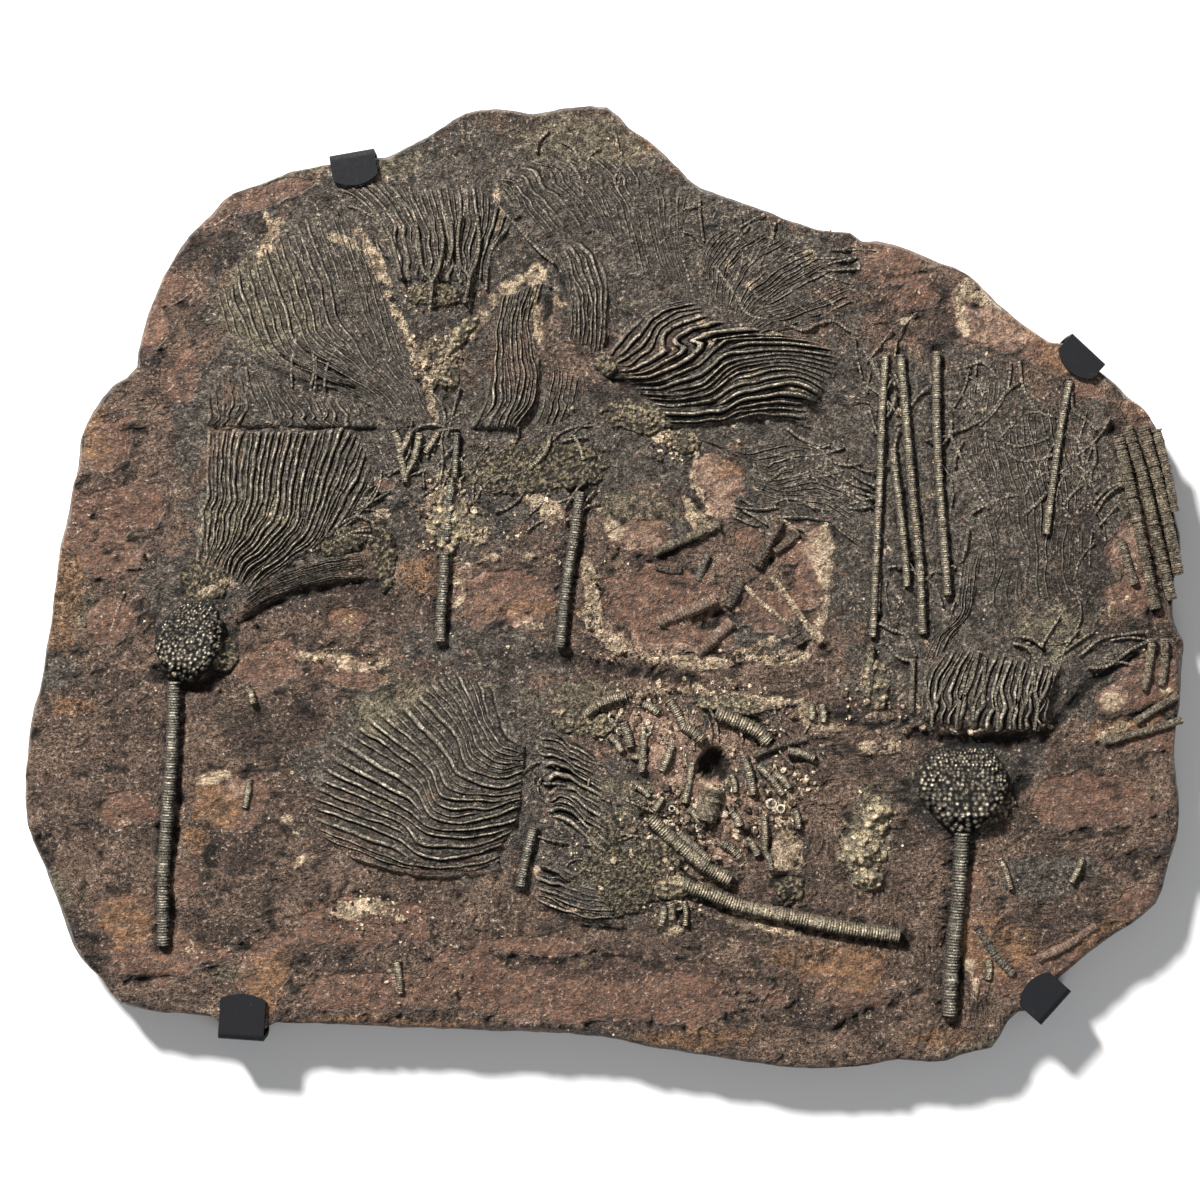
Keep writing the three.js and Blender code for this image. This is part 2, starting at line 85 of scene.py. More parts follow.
# Crowns. Guides run along the arms, from the base to the tips, in order across the crown.
# relief is how high an arm's ridge stands, and buried how much of that is lost where it is worn.
# lift is how far the sheet stands off the face, and share how wide a ridge is in its strip.
# fade is how far the base, the tips and the two sides take to sink into the rock.
CROWNS = [
    dict(name="crown_left", arms=33, relief=2.8, buried=0.3, lift=1.6, fade=(12, 1.5, 14, 16),
         share=0.29, seed=1, guides=[
        [(-368, 20), (-363, 50), (-360, 90), (-360, 138)],
        [(-352, 12), (-340, 40), (-333, 75), (-334, 105), (-331, 138)],
        [(-340, 8), (-318, 45), (-304, 76), (-301, 105), (-294, 138)],
        [(-328, 0), (-298, 36), (-276, 62), (-270, 95), (-260, 138)],
        [(-318, -8), (-282, 24), (-256, 48), (-242, 85), (-222, 138)],
        [(-308, -14), (-270, 14), (-236, 36), (-215, 62), (-200, 88)],
    ]),
    dict(name="crown_left_flank", arms=13, relief=1.2, lift=1.4, fade=(10, 14, 4, 4),
         share=0.22, seed=2, guides=[
        [(-330, -38), (-300, -18), (-262, -1), (-205, 7)],
        [(-326, -24), (-290, -2), (-250, 12), (-203, 20)],
        [(-322, -8), (-285, 14), (-245, 27), (-206, 33)],
    ]),
    dict(name="crown_below_seam", arms=26, relief=1.5, buried=0.8, lift=0.9, fade=(3, 16, 8, 10),
         share=0.2, seed=3, guides=[
        [(-360, 140), (-358, 165), (-350, 200)],
        [(-318, 140), (-314, 165), (-322, 198)],
        [(-275, 140), (-280, 162), (-292, 182)],
        [(-235, 140), (-242, 158), (-250, 172)],
        [(-196, 140), (-200, 152), (-206, 164)],
    ]),
    dict(name="crown_upper_left", arms=27, relief=2.8, buried=0.5, lift=1.0, fade=(8, 22, 14, 6),
         share=0.17, seed=4, guides=[
        [(-196, 150), (-240, 170), (-290, 186), (-330, 206), (-346, 236), (-352, 268)],
        [(-186, 143), (-214, 168), (-256, 186), (-290, 206), (-308, 250), (-322, 298)],
        [(-178, 141), (-198, 168), (-232, 192), (-258, 215), (-272, 260), (-294, 322)],
        [(-168, 141), (-180, 168), (-206, 196), (-226, 230), (-238, 276), (-262, 338)],
        [(-158, 141), (-168, 168), (-188, 198), (-203, 232), (-216, 280), (-238, 336)],
        [(-148, 141), (-156, 168), (-170, 198), (-184, 232), (-197, 270), (-212, 312)],
    ]),
    dict(name="crown_top", arms=24, relief=2.4, buried=0.4, lift=1.4, fade=(3, 18, 10, 10),
         share=0.22, seed=5, guides=[
        [(-186, 268), (-196, 296), (-206, 322), (-226, 342), (-252, 352)],
        [(-172, 270), (-176, 300), (-186, 328), (-203, 350), (-222, 364)],
        [(-153, 268), (-152, 302), (-160, 334), (-172, 362)],
        [(-128, 268), (-127, 302), (-132, 334), (-136, 362)],
        [(-112, 270), (-107, 302), (-104, 334), (-106, 360)],
        [(-100, 264), (-90, 296), (-76, 318), (-56, 328)],
    ]),
    dict(name="crown_upright", arms=13, relief=2.4, buried=0.3, lift=1.8, fade=(3, 6, 4, 6),
         share=0.26, seed=6, guides=[
        [(-122, 139), (-106, 165), (-101, 200), (-98, 235), (-92, 262)],
        [(-100, 139), (-90, 165), (-87, 200), (-86, 235), (-78, 264)],
        [(-84, 139), (-72, 165), (-70, 200), (-72, 235), (-62, 272)],
        [(-70, 139), (-56, 168), (-54, 200), (-60, 238), (-48, 278)],
    ]),
    dict(name="crown_upright_right", arms=8, relief=1.6, buried=0.6, lift=0.9, fade=(8, 10, 5, 8),
         share=0.2, seed=7, guides=[
        [(-66, 139), (-54, 168), (-50, 205)],
        [(-48, 139), (-38, 168), (-34, 196)],
        [(-26, 150), (-20, 172), (-14, 190)],
    ]),
    dict(name="crown_dark_brush", arms=11, relief=2.6, buried=0.2, lift=1.6, fade=(6, 10, 3, 6),
         share=0.28, seed=8, guides=[
        [(-46, 292), (-34, 268), (-31, 244), (-32, 220)],
        [(-38, 300), (-22, 272), (-19, 242), (-20, 208)],
        [(-28, 306), (-8, 276), (-6, 240), (-8, 200)],
        [(-18, 312), (4, 282), (6, 246), (2, 205)],
    ]),
    dict(name="crown_hairs", arms=36, relief=1.3, buried=0.7, lift=0.8, fade=(12, 14, 12, 10),
         share=0.2, seed=9, guides=[
        [(-104, 356), (-78, 326), (-56, 304)],
        [(-84, 372), (-52, 338), (-30, 308)],
        [(-52, 384), (-18, 346), (2, 312)],
        [(-14, 388), (12, 346), (24, 306), (32, 272)],
        [(22, 384), (34, 346), (42, 306), (54, 266)],
        [(56, 362), (56, 332), (58, 300), (74, 258)],
        [(84, 346), (76, 320), (76, 290), (90, 240)],
    ]),
    dict(name="crown_long_arms", arms=23, relief=4.6, buried=0.15, lift=1.8, fade=(4, 16, 6, 8),
         share=0.26, seed=10, guides=[
        [(2, 208), (22, 232), (48, 250), (78, 256)],
        [(8, 198), (32, 222), (60, 242), (92, 248)],
        [(14, 189), (44, 208), (76, 228), (108, 236)],
        [(20, 182), (56, 196), (92, 214), (146, 219), (196, 214)],
        [(26, 175), (66, 186), (108, 201), (158, 207), (214, 200)],
        [(34, 167), (78, 174), (122, 188), (164, 194), (206, 180)],
        [(44, 158), (90, 164), (132, 174), (170, 180), (200, 164)],
        [(54, 148), (100, 152), (140, 160), (186, 160)],
        [(62, 138), (106, 140), (146, 146), (190, 136)],
    ]),
    dict(name="crown_fuzzy", arms=36, relief=1.4, buried=0.8, lift=0.8, fade=(8, 16, 12, 12),
         share=0.2, seed=11, guides=[
        [(80, 250), (78, 278), (84, 306), (104, 322)],
        [(96, 246), (100, 272), (116, 298), (144, 318)],
        [(112, 238), (124, 262), (148, 286), (186, 306)],
        [(124, 228), (150, 246), (182, 262), (216, 280)],
        [(140, 216), (172, 226), (204, 234), (238, 244)],
    ]),
    dict(name="crown_lower", arms=27, relief=3.6, buried=0.35, lift=1.8, fade=(3, 18, 8, 12),
         share=0.2, seed=12, guides=[
        [(-68, -139), (-79, -130), (-89, -110), (-95, -86)],
        [(-70, -146), (-91, -140), (-102, -122), (-110, -95), (-116, -80)],
        [(-70, -151), (-95, -147), (-110, -127), (-123, -97), (-140, -70)],
        [(-70, -157), (-101, -151), (-115, -135), (-129, -107), (-154, -78)],
        [(-70, -163), (-102, -161), (-120, -150), (-137, -124), (-170, -90)],
        [(-71, -171), (-104, -170), (-125, -163), (-150, -139), (-188, -100)],
        [(-72, -180), (-113, -180), (-134, -172), (-167, -143), (-212, -108)],
        [(-72, -189), (-113, -189), (-142, -185), (-178, -160), (-234, -124)],
        [(-74, -197), (-106, -202), (-138, -203), (-176, -184), (-252, -143)],
        [(-76, -208), (-116, -213), (-152, -210), (-193, -192), (-262, -161)],
        [(-82, -219), (-112, -223), (-152, -220), (-190, -207), (-268, -178)],
        [(-90, -231), (-128, -236), (-164, -233), (-204, -218), (-272, -194)],
        [(-90, -244), (-128, -249), (-170, -247), (-215, -232), (-264, -212)],
        [(-90, -257), (-130, -261), (-174, -257), (-225, -243)],
    ]),
    dict(name="crown_rough", arms=17, relief=4.4, buried=0.8, lift=1.6, fade=(12, 26, 14, 10),
         share=0.28, seed=13, guides=[
        [(-60, -118), (-40, -124), (-16, -136), (2, -150)],
        [(-64, -134), (-44, -140), (-20, -152), (4, -166)],
        [(-62, -150), (-42, -156), (-18, -166), (8, -180)],
        [(-60, -172), (-40, -176), (-14, -186), (14, -204)],
        [(-58, -190), (-38, -196), (-10, -210), (20, -232)],
        [(-56, -208), (-38, -216), (-14, -232), (12, -256)],
    ]),
    dict(name="crown_rough_low", arms=12, relief=3.6, buried=0.7, lift=1.4, fade=(10, 26, 10, 8),
         share=0.28, seed=18, guides=[
        [(-66, -232), (-44, -240), (-16, -252), (14, -262)],
        [(-64, -250), (-42, -258), (-16, -268), (16, -274)],
        [(-64, -268), (-42, -276), (-14, -284), (20, -286)],
        [(-60, -284), (-38, -294), (-10, -300), (26, -300)],
    ]),
    dict(name="crown_right", arms=22, relief=3.6, buried=0.1, lift=3.0, fade=(1.5, 14, 5, 8),
         share=0.26, seed=14, guides=[
        [(279, -118), (279, -95), (283, -76), (298, -56)],
        [(292, -122), (293, -98), (301, -76), (318, -50)],
        [(308, -124), (311, -100), (318, -78), (332, -48)],
        [(325, -127), (327, -102), (334, -80), (346, -50)],
        [(342, -128), (346, -105), (351, -84), (360, -56)],
        [(360, -128), (364, -106), (368, -86), (376, -60)],
        [(378, -127), (381, -106), (386, -88), (394, -64)],
        [(396, -120), (398, -102), (402, -88), (410, -70)],
    ]),
    dict(name="crown_right_strands", arms=8, relief=1.8, buried=0.6, lift=1.0, fade=(12, 60, 5, 8),
         share=0.24, seed=15, guides=[
        [(279, -72), (290, -46), (306, -30), (312, 0), (318, 50)],
        [(286, -70), (300, -44), (318, -26), (322, 6), (330, 55)],
        [(296, -66), (314, -42), (328, -20), (334, 12), (342, 60)],
    ]),
    dict(name="crown_right_bed", arms=25, relief=0.9, buried=0.9, lift=0.6, fade=(24, 22, 16, 18),
         share=0.16, seed=16, guides=[
        [(332, -36), (330, 20), (322, 80), (312, 140), (308, 190)],
        [(356, -32), (356, 20), (346, 80), (334, 140), (340, 196)],
        [(382, -28), (384, 20), (376, 80), (362, 140), (368, 190)],
        [(410, -22), (412, 25), (410, 80), (396, 135), (392, 180)],
        [(436, -10), (440, 30), (442, 80), (438, 130), (424, 165)],
    ]),
    dict(name="crown_centre_bed", arms=20, relief=1.1, buried=0.8, lift=0.6, fade=(16, 20, 14, 14),
         share=0.18, seed=17, guides=[
        [(66, 136), (110, 128), (156, 132), (214, 122)],
        [(118, 112), (150, 106), (184, 112), (226, 96)],
        [(126, 90), (158, 84), (192, 84), (232, 62)],
        [(136, 70), (166, 66), (200, 56), (230, 28)],
    ]),
]

# Stems: diameter, name of the mesh they join, and the middle line.
STEMS = [
    (12, "stems_left", [(-380, -84), (-382, -140), (-386, -200), (-390, -260), (-390, -318)]),
    (9, "stems_left", [(-62, -212), (-67, -232), (-74, -265)]),
    (10, "stems_left", [(-141, 30), (-142, 5), (-144, -20), (-145, -49)]),
    (8, "stems_left", [(-135, 92), (-137, 70), (-139, 40)]),
    (6, "stems_left", [(-130, 136), (-131, 116), (-132, 96)]),
    (10, "stems_left", [(-21, 84), (-27, 40), (-34, -5), (-39, -54)]),
    (14, "stems_right", [(317, -218), (314, -270), (308, -330), (305, -380)]),
    (13, "stems_right", [(70, -263), (95, -272), (121, -282), (170, -293), (214, -302), (262, -309)]),
    (12, "stems_right", [(40, -204), (64, -226), (88, -246), (112, -260)]),
    (8, "stems_right", [(66, -217), (80, -230), (93, -243)]),
    (13, "stems_right", [(99, -111), (118, -119), (134, -127), (146, -138)]),
    (7, "stems_thin", [(249, 205), (246, 160), (244, 100), (241, 30), (238, -45)]),
    (8, "stems_thin", [(262, 205), (266, 160), (272, 90), (279, 20), (282, -42)]),
    (8, "stems_thin", [(294, 208), (294, 140), (298, 70), (304, -8)]),
    (7, "stems_thin", [(255, 122), (260, 80), (266, 30), (268, 0)]),
    (7, "stems_thin", [(412, 182), (404, 140), (397, 90), (391, 46)]),
    (10, "stems_edge", [(455, 134), (465, 90), (476, 40), (488, -20)]),
    (10, "stems_edge", [(463, 142), (478, 92), (490, 40), (503, -12)]),
    (10, "stems_edge", [(477, 142), (489, 98), (500, 52), (509, 10)]),
    (9, "stems_edge", [(489, 139), (498, 105), (505, 66)]),
    (7, "stems_edge", [(458, 40), (464, 20), (470, 2)]),
    (7, "stems_edge", [(485, -46), (483, -66), (478, -92)]),
    (7, "stems_edge", [(496, -46), (496, -66), (493, -88)]),
    (7, "stems_edge", [(508, -96), (492, -106), (470, -120)]),
    (7, "stems_edge", [(512, -118), (480, -128), (442, -138)]),
    (7, "stems_edge", [(236, -52), (236, -76), (233, -98)]),
    (5, "stems_edge", [(273, -64), (272, -90), (272, -112)]),
]

# Short broken stems: diameter and the two ends.
BROKEN_STEMS = [
    (9, (-16, -112), (2, -100)), (9, (17, -120), (23, -142)), (10, (-6, -104), (20, -96)),
    (7, (35, -122), (33, -164)), (9, (57, -100), (70, -124)), (10, (69, -123), (87, -136)),
    (8, (60, -140), (51, -163)), (7, (78, -155), (71, -191)), (8, (123, -149), (132, -184)),
    (7, (136, -158), (158, -184)), (7, (150, -165), (164, -178)), (8, (162, -145), (186, -152)),
    (7, (141, -203), (142, -233)), (6, (142, -233), (148, -251)), (8, (53, -282), (50, -300)),
    (8, (58, -278), (60, -295)), (5, (71, -278), (72, -300)), (7, (182, -102), (184, -118)),
    (7, (192, -104), (194, -120)), (6, (52, -186), (44, -198)), (6, (28, -176), (40, -186)),
    (8, (112, -198), (120, -212)), (7, (74, -196), (84, -208)), (6, (24, -150), (38, -154)),
    (7, (4, -132), (16, -146)), (8, (34, -104), (48, -112)), (6, (112, -166), (116, -182)),
    (7, (126, -222), (136, -238)), (9, (104, -226), (120, -240)), (6, (168, -196), (172, -214)),
    (7, (-186, 138), (-180, 118)), (6, (-171, 136), (-181, 116)), (7, (-163, 136), (-168, 112)),
    (6, (-147, 136), (-158, 118)), (7, (-181, 116), (-176, 92)), (6, (-168, 112), (-178, 96)),
    (5, (-48, 134), (-52, 118)), (5, (-52, 118), (-66, 104)), (4, (-27, 134), (-18, 112)),
    (7, (340, -330), (340, -348)), (6, (350, -240), (360, -268)), (7, (-314, -170), (-318, -196)),
    (6, (-184, -330), (-180, -360)), (7, (-316, -88), (-310, -104)), (6, (414, -262), (424, -240)),
]

# Stems left as casts in the rock: colour patch, diameter and line.
CASTS = [
    ("olive", 8, [(44, 30), (72, 42), (103, 55)]),
    ("grey", 7, [(84, 5), (87, 16), (92, 29)]),
    ("dark", 12, [(135, 18), (144, 36), (156, 59)]),
    ("dark", 8, [(151, 31), (161, 38), (173, 48)]),
    ("dark", 11, [(110, -18), (115, -8), (122, 6)]),
    ("dark", 8, [(46, 17), (57, 15), (69, 14)]),
    ("pink", 12, [(48, -32), (74, -22), (100, -11)]),
    ("pink", 11, [(82, -60), (98, -46), (114, -31)]),
    ("dark", 9, [(163, -30), (168, -40), (175, -51)]),
    ("cream", 5, [(124, 1), (142, -16), (164, -34)]),
    ("cream", 6, [(149, 9), (170, -20), (192, -51)]),
    ("olive", 21, [(96, -179), (93, -192), (89, -207)]),
    ("dark", 8, [(132, -149), (148, -142), (164, -138), (180, -134)]),
    ("pink", 8, [(384, -330), (410, -318), (436, -300)]),
    ("grey", 8, [(330, -300), (346, -326), (362, -344)]),
]

# Stem discs lying flat: place and radius.
LOOSE_DISCS = [
    (8, -116, 5), (66, -282, 4.5), (38, -128, 4), (60, -210, 4), (84, -212, 3.5),
    (148, -192, 5), (156, -196, 4), (58, -212, 3), (60, -196, 3), (14, -128, 3.5),
]

# Pale broken seams: width and line.
PALE_SEAMS = [
    (7, [(-221, 314), (-208, 305), (-198, 292), (-192, 272), (-185, 262), (-192, 257)]),
    (6, [(-192, 257), (-176, 228), (-163, 200), (-156, 176), (-150, 147)]),
    (10, [(-69, 274), (-92, 259), (-108, 235), (-124, 218), (-143, 196), (-156, 182)]),
    (5, [(-60, 262), (-57, 244), (-60, 222)]),
    (7, [(-18, 26), (-15, 0), (-14, -42), (10, -55), (44, -66), (80, -70), (108, -71)]),
    (5, [(108, -71), (119, -57), (136, -57), (158, -46), (170, -44)]),
    (4, [(119, -57), (140, -66), (166, -69), (184, -60)]),
    (8, [(198, 48), (202, 33), (194, 19), (199, 0), (192, -30), (191, -46), (184, -56)]),
    (4, [(81, 118), (79, 92), (92, 72), (99, 54)]),
    (6, [(70, 80), (78, 66), (86, 54)]),
    (4, [(150, 62), (158, 60), (166, 52), (170, 42)]),
    (6, [(95, -97), (120, -99), (150, -100), (180, -104), (204, -110)]),
    (5, [(200, -110), (208, -124), (200, -136), (188, -146)]),
    (7, [(150, -226), (158, -246), (176, -252), (172, -228)]),
    (6, [(24, -96), (50, -92), (88, -92)]),
    (5, [(60, -272), (84, -286), (120, -300), (150, -306)]),
    (5, [(-136, 25), (-120, 20), (-98, 26)]),
    (5, [(-62, -22), (-70, -34), (-56, -36)]),
    (6, [(-130, 10), (-124, -4), (-132, -20)]),
    (6, [(-238, -60), (-220, -66), (-206, -72), (-190, -66)]),
    (5, [(-300, 330), (-290, 316), (-296, 300), (-304, 288)]),
    (6, [(310, 262), (318, 270), (338, 262), (360, 256)]),
    (5, [(318, 262), (316, 240), (322, 222)]),
    (5, [(324, -338), (330, -350), (328, -364)]),
    (5, [(232, -60), (228, -84), (236, -108), (256, -116)]),
    (6, [(-250, -274), (-226, -282), (-196, -288), (-178, -294)]),
    (4, [(-96, 346), (-90, 332), (-96, 318)]),
    (7, [(81, -166), (89, -176), (101, -178), (111, -170)]),
]

# Patches of grains: middle, half sizes, turn, grain size, bulge and how pale they are, 0 to 1.
GRAINY = [
    (-150, 258, 28, 12, 0, 2.4, 0.8, 0.25), (-138, 58, 18, 32, -6, 5.5, 2.6, 0.75),
    (-118, 52, 16, 14, -20, 4.5, 1.6, 0.6), (-140, 194, 14, 22, 10, 4.2, 1.4, 0.35),
    (-128, 222, 30, 8, 48, 4.4, 2.0, 0.45), (10, -262, 44, 32, -12, 2.2, 1.2, 0.0),
    (50, -238, 24, 22, 0, 3.0, 0.8, 0.15), (60, -266, 18, 12, 0, 5.0, 2.2, 0.6),
    (241, -204, 13, 22, -20, 5.5, 7.0, 0.9), (229, -234, 24, 20, 14, 5.0, 7.0, 0.85),
    (233, -258, 17, 12, 0, 4.5, 5.0, 0.8),
    (240, -88, 14, 26, 0, 5.0, 1.2, 0.5),
    (-352, 6, 24, 22, 20, 2.4, 0.8, 0.1), (-336, -60, 14, 16, 0, 2.8, 0.6, 0.1),
    (-280, 62, 24, 8, 20, 2.4, 0.4, 0.1), (-232, 40, 26, 14, 20, 2.6, 0.6, 0.0),
    (-60, 104, 70, 26, 4, 2.8, 0.4, 0.05), (2, 196, 12, 10, 0, 3.4, 1.4, 0.2),
    (30, 150, 34, 16, -10, 3.0, 0.6, 0.3), (348, -196, 20, 14, 30, 4.0, 0.6, 0.15),
    (-196, 30, 12, 36, 8, 3.2, 0.6, 0.05), (70, 128, 16, 12, 0, 3.6, 0.6, 0.45),
    (116, -104, 40, 9, -4, 3.4, 0.6, 0.5), (-20, -120, 34, 14, -8, 3.2, 0.8, 0.3),
    (2, -222, 18, 24, 10, 2.6, 1.8, 0.0), (165, -268, 14, 12, 0, 3.4, 3.0, 0.1),
]

# Loose arms: short curved strands picked out one by one.
STRANDS = [
    [(-153, 246), (-154, 266), (-157, 277), (-163, 296), (-165, 315), (-170, 332), (-184, 346)],
    [(-154, 272), (-145, 277), (-137, 289), (-135, 306), (-139, 325), (-144, 342)],
    [(-144, 274), (-148, 283), (-150, 306), (-153, 328)],
    [(-124, 250), (-119, 270), (-124, 283), (-127, 306), (-124, 325), (-122, 342)],
    [(-119, 272), (-113, 286), (-111, 306), (-113, 322)],
    [(-126, 268), (-131, 280), (-135, 293)],
    [(-179, 272), (-182, 289), (-189, 309), (-198, 328), (-210, 342)],
    [(-172, 270), (-174, 290), (-178, 312), (-190, 334)],
    [(-104, 262), (-103, 282), (-98, 300), (-86, 316)],
    [(320, 194), (334, 198), (346, 188), (354, 172), (346, 156), (332, 142)],
    [(306, 136), (324, 142), (342, 154), (356, 172), (370, 182)],
    [(368, 200), (370, 180), (376, 166), (386, 154), (400, 150)],
    [(348, 132), (362, 124), (378, 126), (394, 132)],
    [(350, 124), (366, 112), (384, 112), (400, 118)],
    [(316, 170), (324, 162), (328, 152)],
    [(414, 172), (416, 156), (426, 148), (436, 138)],
    [(430, 138), (434, 124), (434, 108), (424, 98)],
    [(418, 132), (424, 118), (424, 106)],
    [(306, 134), (312, 122), (320, 104), (328, 86), (340, 68)],
    [(332, 96), (338, 84), (344, 72)],
    [(372, 64), (384, 74), (392, 84)],
    [(406, 72), (416, 84), (424, 90)],
    [(316, 22), (320, 36), (322, 52)],
    [(420, -62), (440, -46), (462, -42), (478, -40)],
    [(428, -72), (446, -70), (466, -56), (482, -48)],
    [(244, -32), (254, -38), (268, -44), (276, -62)],
    [(250, -50), (260, -62), (272, -66)],
    [(360, -50), (374, -54), (384, -68), (394, -70)],
    [(366, -44), (378, -46), (388, -54)],
    [(138, 98), (146, 94), (154, 100), (162, 106)],
    [(118, 262), (122, 246), (132, 238), (144, 236)],
    [(164, 230), (176, 226), (190, 232), (204, 234), (216, 226)],
    [(162, 140), (176, 130), (192, 124)],
    [(-98, 342), (-80, 322), (-60, 300), (-44, 286)],
    [(-60, 384), (-58, 394), (-48, 404)],
    [(-38, 394), (-26, 386), (-18, 370)],
    [(-70, 100), (-60, 112), (-50, 124)],
    [(-258, 60), (-246, 72), (-236, 84), (-228, 78)],
    [(-246, 44), (-232, 56), (-218, 62), (-208, 58)],
    [(-236, 40), (-222, 48), (-206, 50)],
    [(-436, -40), (-430, -20), (-424, -4)],
    [(-180, -330), (-186, -346), (-180, -362)],
]

# Forked arm bases standing on the crowns.
FORKS = [
    [(289, -124), (289, -112), (285, -96), (282, -80)],
    [(289, -112), (294, -98), (299, -86), (308, -70)],
    [(311, -127), (311, -114), (314, -98), (319, -76)],
    [(314, -100), (322, -86), (327, -70), (330, -56)],
    [(325, -118), (326, -103), (333, -88), (336, -62)],
    [(347, -128), (347, -112), (344, -98), (351, -78)],
    [(358, -126), (359, -110), (366, -94), (366, -74)],
    [(367, -126), (368, -110), (378, -88), (380, -74)],
    [(380, -127), (382, -104), (376, -80)],
    [(382, -104), (390, -90), (393, -78)],
    [(-153, 250), (-152, 268), (-160, 280), (-163, 300), (-166, 322)],
    [(-152, 268), (-146, 280), (-142, 304), (-146, 326)],
    [(-123, 250), (-119, 272), (-127, 284), (-129, 306), (-126, 330)],
    [(-119, 272), (-113, 286), (-110, 306), (-112, 330)],
    [(-137, 286), (-134, 300), (-135, 322)],
    [(-179, 272), (-183, 290), (-190, 312), (-206, 338)],
]

# Grooves in the rock: width, depth and line. The first ones are seams and cracks.
GROOVES = [
    (1.6, 1.2, [(-366, 139), (-300, 139), (-240, 140), (-140, 138)]),
    (5, 2.6, [(-426, 139), (-412, 138), (-398, 140)]),
    (6, 2.4, [(-498, -66), (-480, -58), (-458, -60)]),
    (5, 2.0, [(-476, -80), (-452, -76), (-430, -68)]),
    (5, 2.6, [(-434, -352), (-410, -348), (-380, -344)]),
    (6, 2.4, [(-352, -322), (-330, -316), (-310, -322)]),
    (4, 2.2, [(-450, 40), (-440, 30), (-424, 42), (-404, 44)]),
    (5, 2.0, [(-410, 208), (-396, 210), (-388, 206)]),
    (5, 2.4, [(-64, 304), (-52, 292), (-42, 284), (-34, 262)]),
    (6, 3.0, [(-50, 256), (-48, 242), (-56, 232)]),
    (5, 2.6, [(92, 318), (112, 322), (140, 328)]),
    (5, 2.2, [(238, 280), (258, 274), (284, 278)]),
    (9, 4.0, [(-4, 196), (8, 186), (24, 178), (52, 176)]),
    (8, 3.4, [(26, 168), (60, 162), (96, 160)]),
    (12, 3.2, [(276, -128), (300, -134), (350, -136), (390, -130), (412, -108)]),
    (10, 3.6, [(412, -108), (432, -84), (470, -60)]),
    (12, 3.4, [(-60, -60), (-42, -60), (-20, -66)]),
    (12, 3.0, [(-20, -66), (30, -76), (80, -82)]),
    (9, 2.6, [(-330, -40), (-304, -20), (-270, -4), (-204, 2)]),
    (14, 4.5, [(-396, -76), (-380, -88), (-352, -86), (-330, -66)]),
    (6, 2.4, [(44, 22), (66, 34), (88, 46), (104, 54)]),
    (7, 2.8, [(62, 4), (84, -2), (104, -22), (116, -30)]),
    (8, 2.6, [(150, 24), (164, 36), (174, 48)]),
    (6, 2.6, [(-204, 40), (-196, 62), (-176, 74)]),
    (10, 4.0, [(86, -270), (150, -296), (200, -308), (262, -316)]),
    (8, 2.6, [(204, -394), (232, -376), (280, -360)]),
    (7, 2.4, [(350, -322), (362, -336), (372, -344)]),
    (9, 2.6, [(200, -112), (232, -122), (268, -122)]),
    (7, 2.4, [(150, -62), (170, -58), (184, -48)]),
    (9, 3.0, [(356, -196), (366, -178), (376, -172)]),
    (5, 2.0, [(-60, -284), (-20, -300), (40, -306)]),
    (6, 2.4, [(-300, 166), (-286, 160), (-272, 172)]),
    (4, 3.2, [(-306, 198), (-284, 187), (-262, 179), (-236, 172)]),
    (4, 3.6, [(-284, 204), (-264, 190), (-244, 180), (-220, 175)]),
    (3.5, 3.0, [(-262, 208), (-246, 194), (-228, 184)]), (3.5, 2.4, [(-320, 190), (-300, 180), (-280, 172)]),
    (3, 3.0, [(-206, 306), (-192, 292), (-184, 280)]), (3, 2.6, [(-196, 316), (-184, 300)]),
    (4, 3.0, [(372, -46), (384, -52), (392, -60)]), (4, 3.0, [(358, -48), (368, -56), (382, -62)]),
    (5, 4.0, [(-40, -136), (-24, -142), (-8, -152)]), (5, 4.0, [(-44, -160), (-26, -166), (-6, -178)]),
    (6, 4.4, [(-58, -172), (-46, -178), (-34, -176)]), (6, 4.0, [(-40, -196), (-22, -206), (-6, -220)]),
    (5, 4.0, [(-52, -250), (-36, -262), (-24, -260)]), (6, 3.6, [(-24, -112), (-8, -108), (4, -118)]),
    (7, 4.0, [(150, -262), (160, -257), (176, -262)]), (5, 3.0, [(120, -212), (130, -222), (128, -236)]),
]

# Round pits: place, radius and depth.
PITS = [
    (97, -157, 16, 13.0), (-66, -24, 4, 3.0), (-366, 322, 9, 2.5), (-460, -328, 26, 3.0),
    (-496, -228, 12, 3.0), (-430, 24, 5, 2.0), (475, -246, 16, 2.0), (152, 42, 10, 2.5),
    (90, -28, 16, 3.0), (-40, 104, 10, 2.0), (370, -174, 8, 3.0), (-350, -238, 12, 1.8),
]

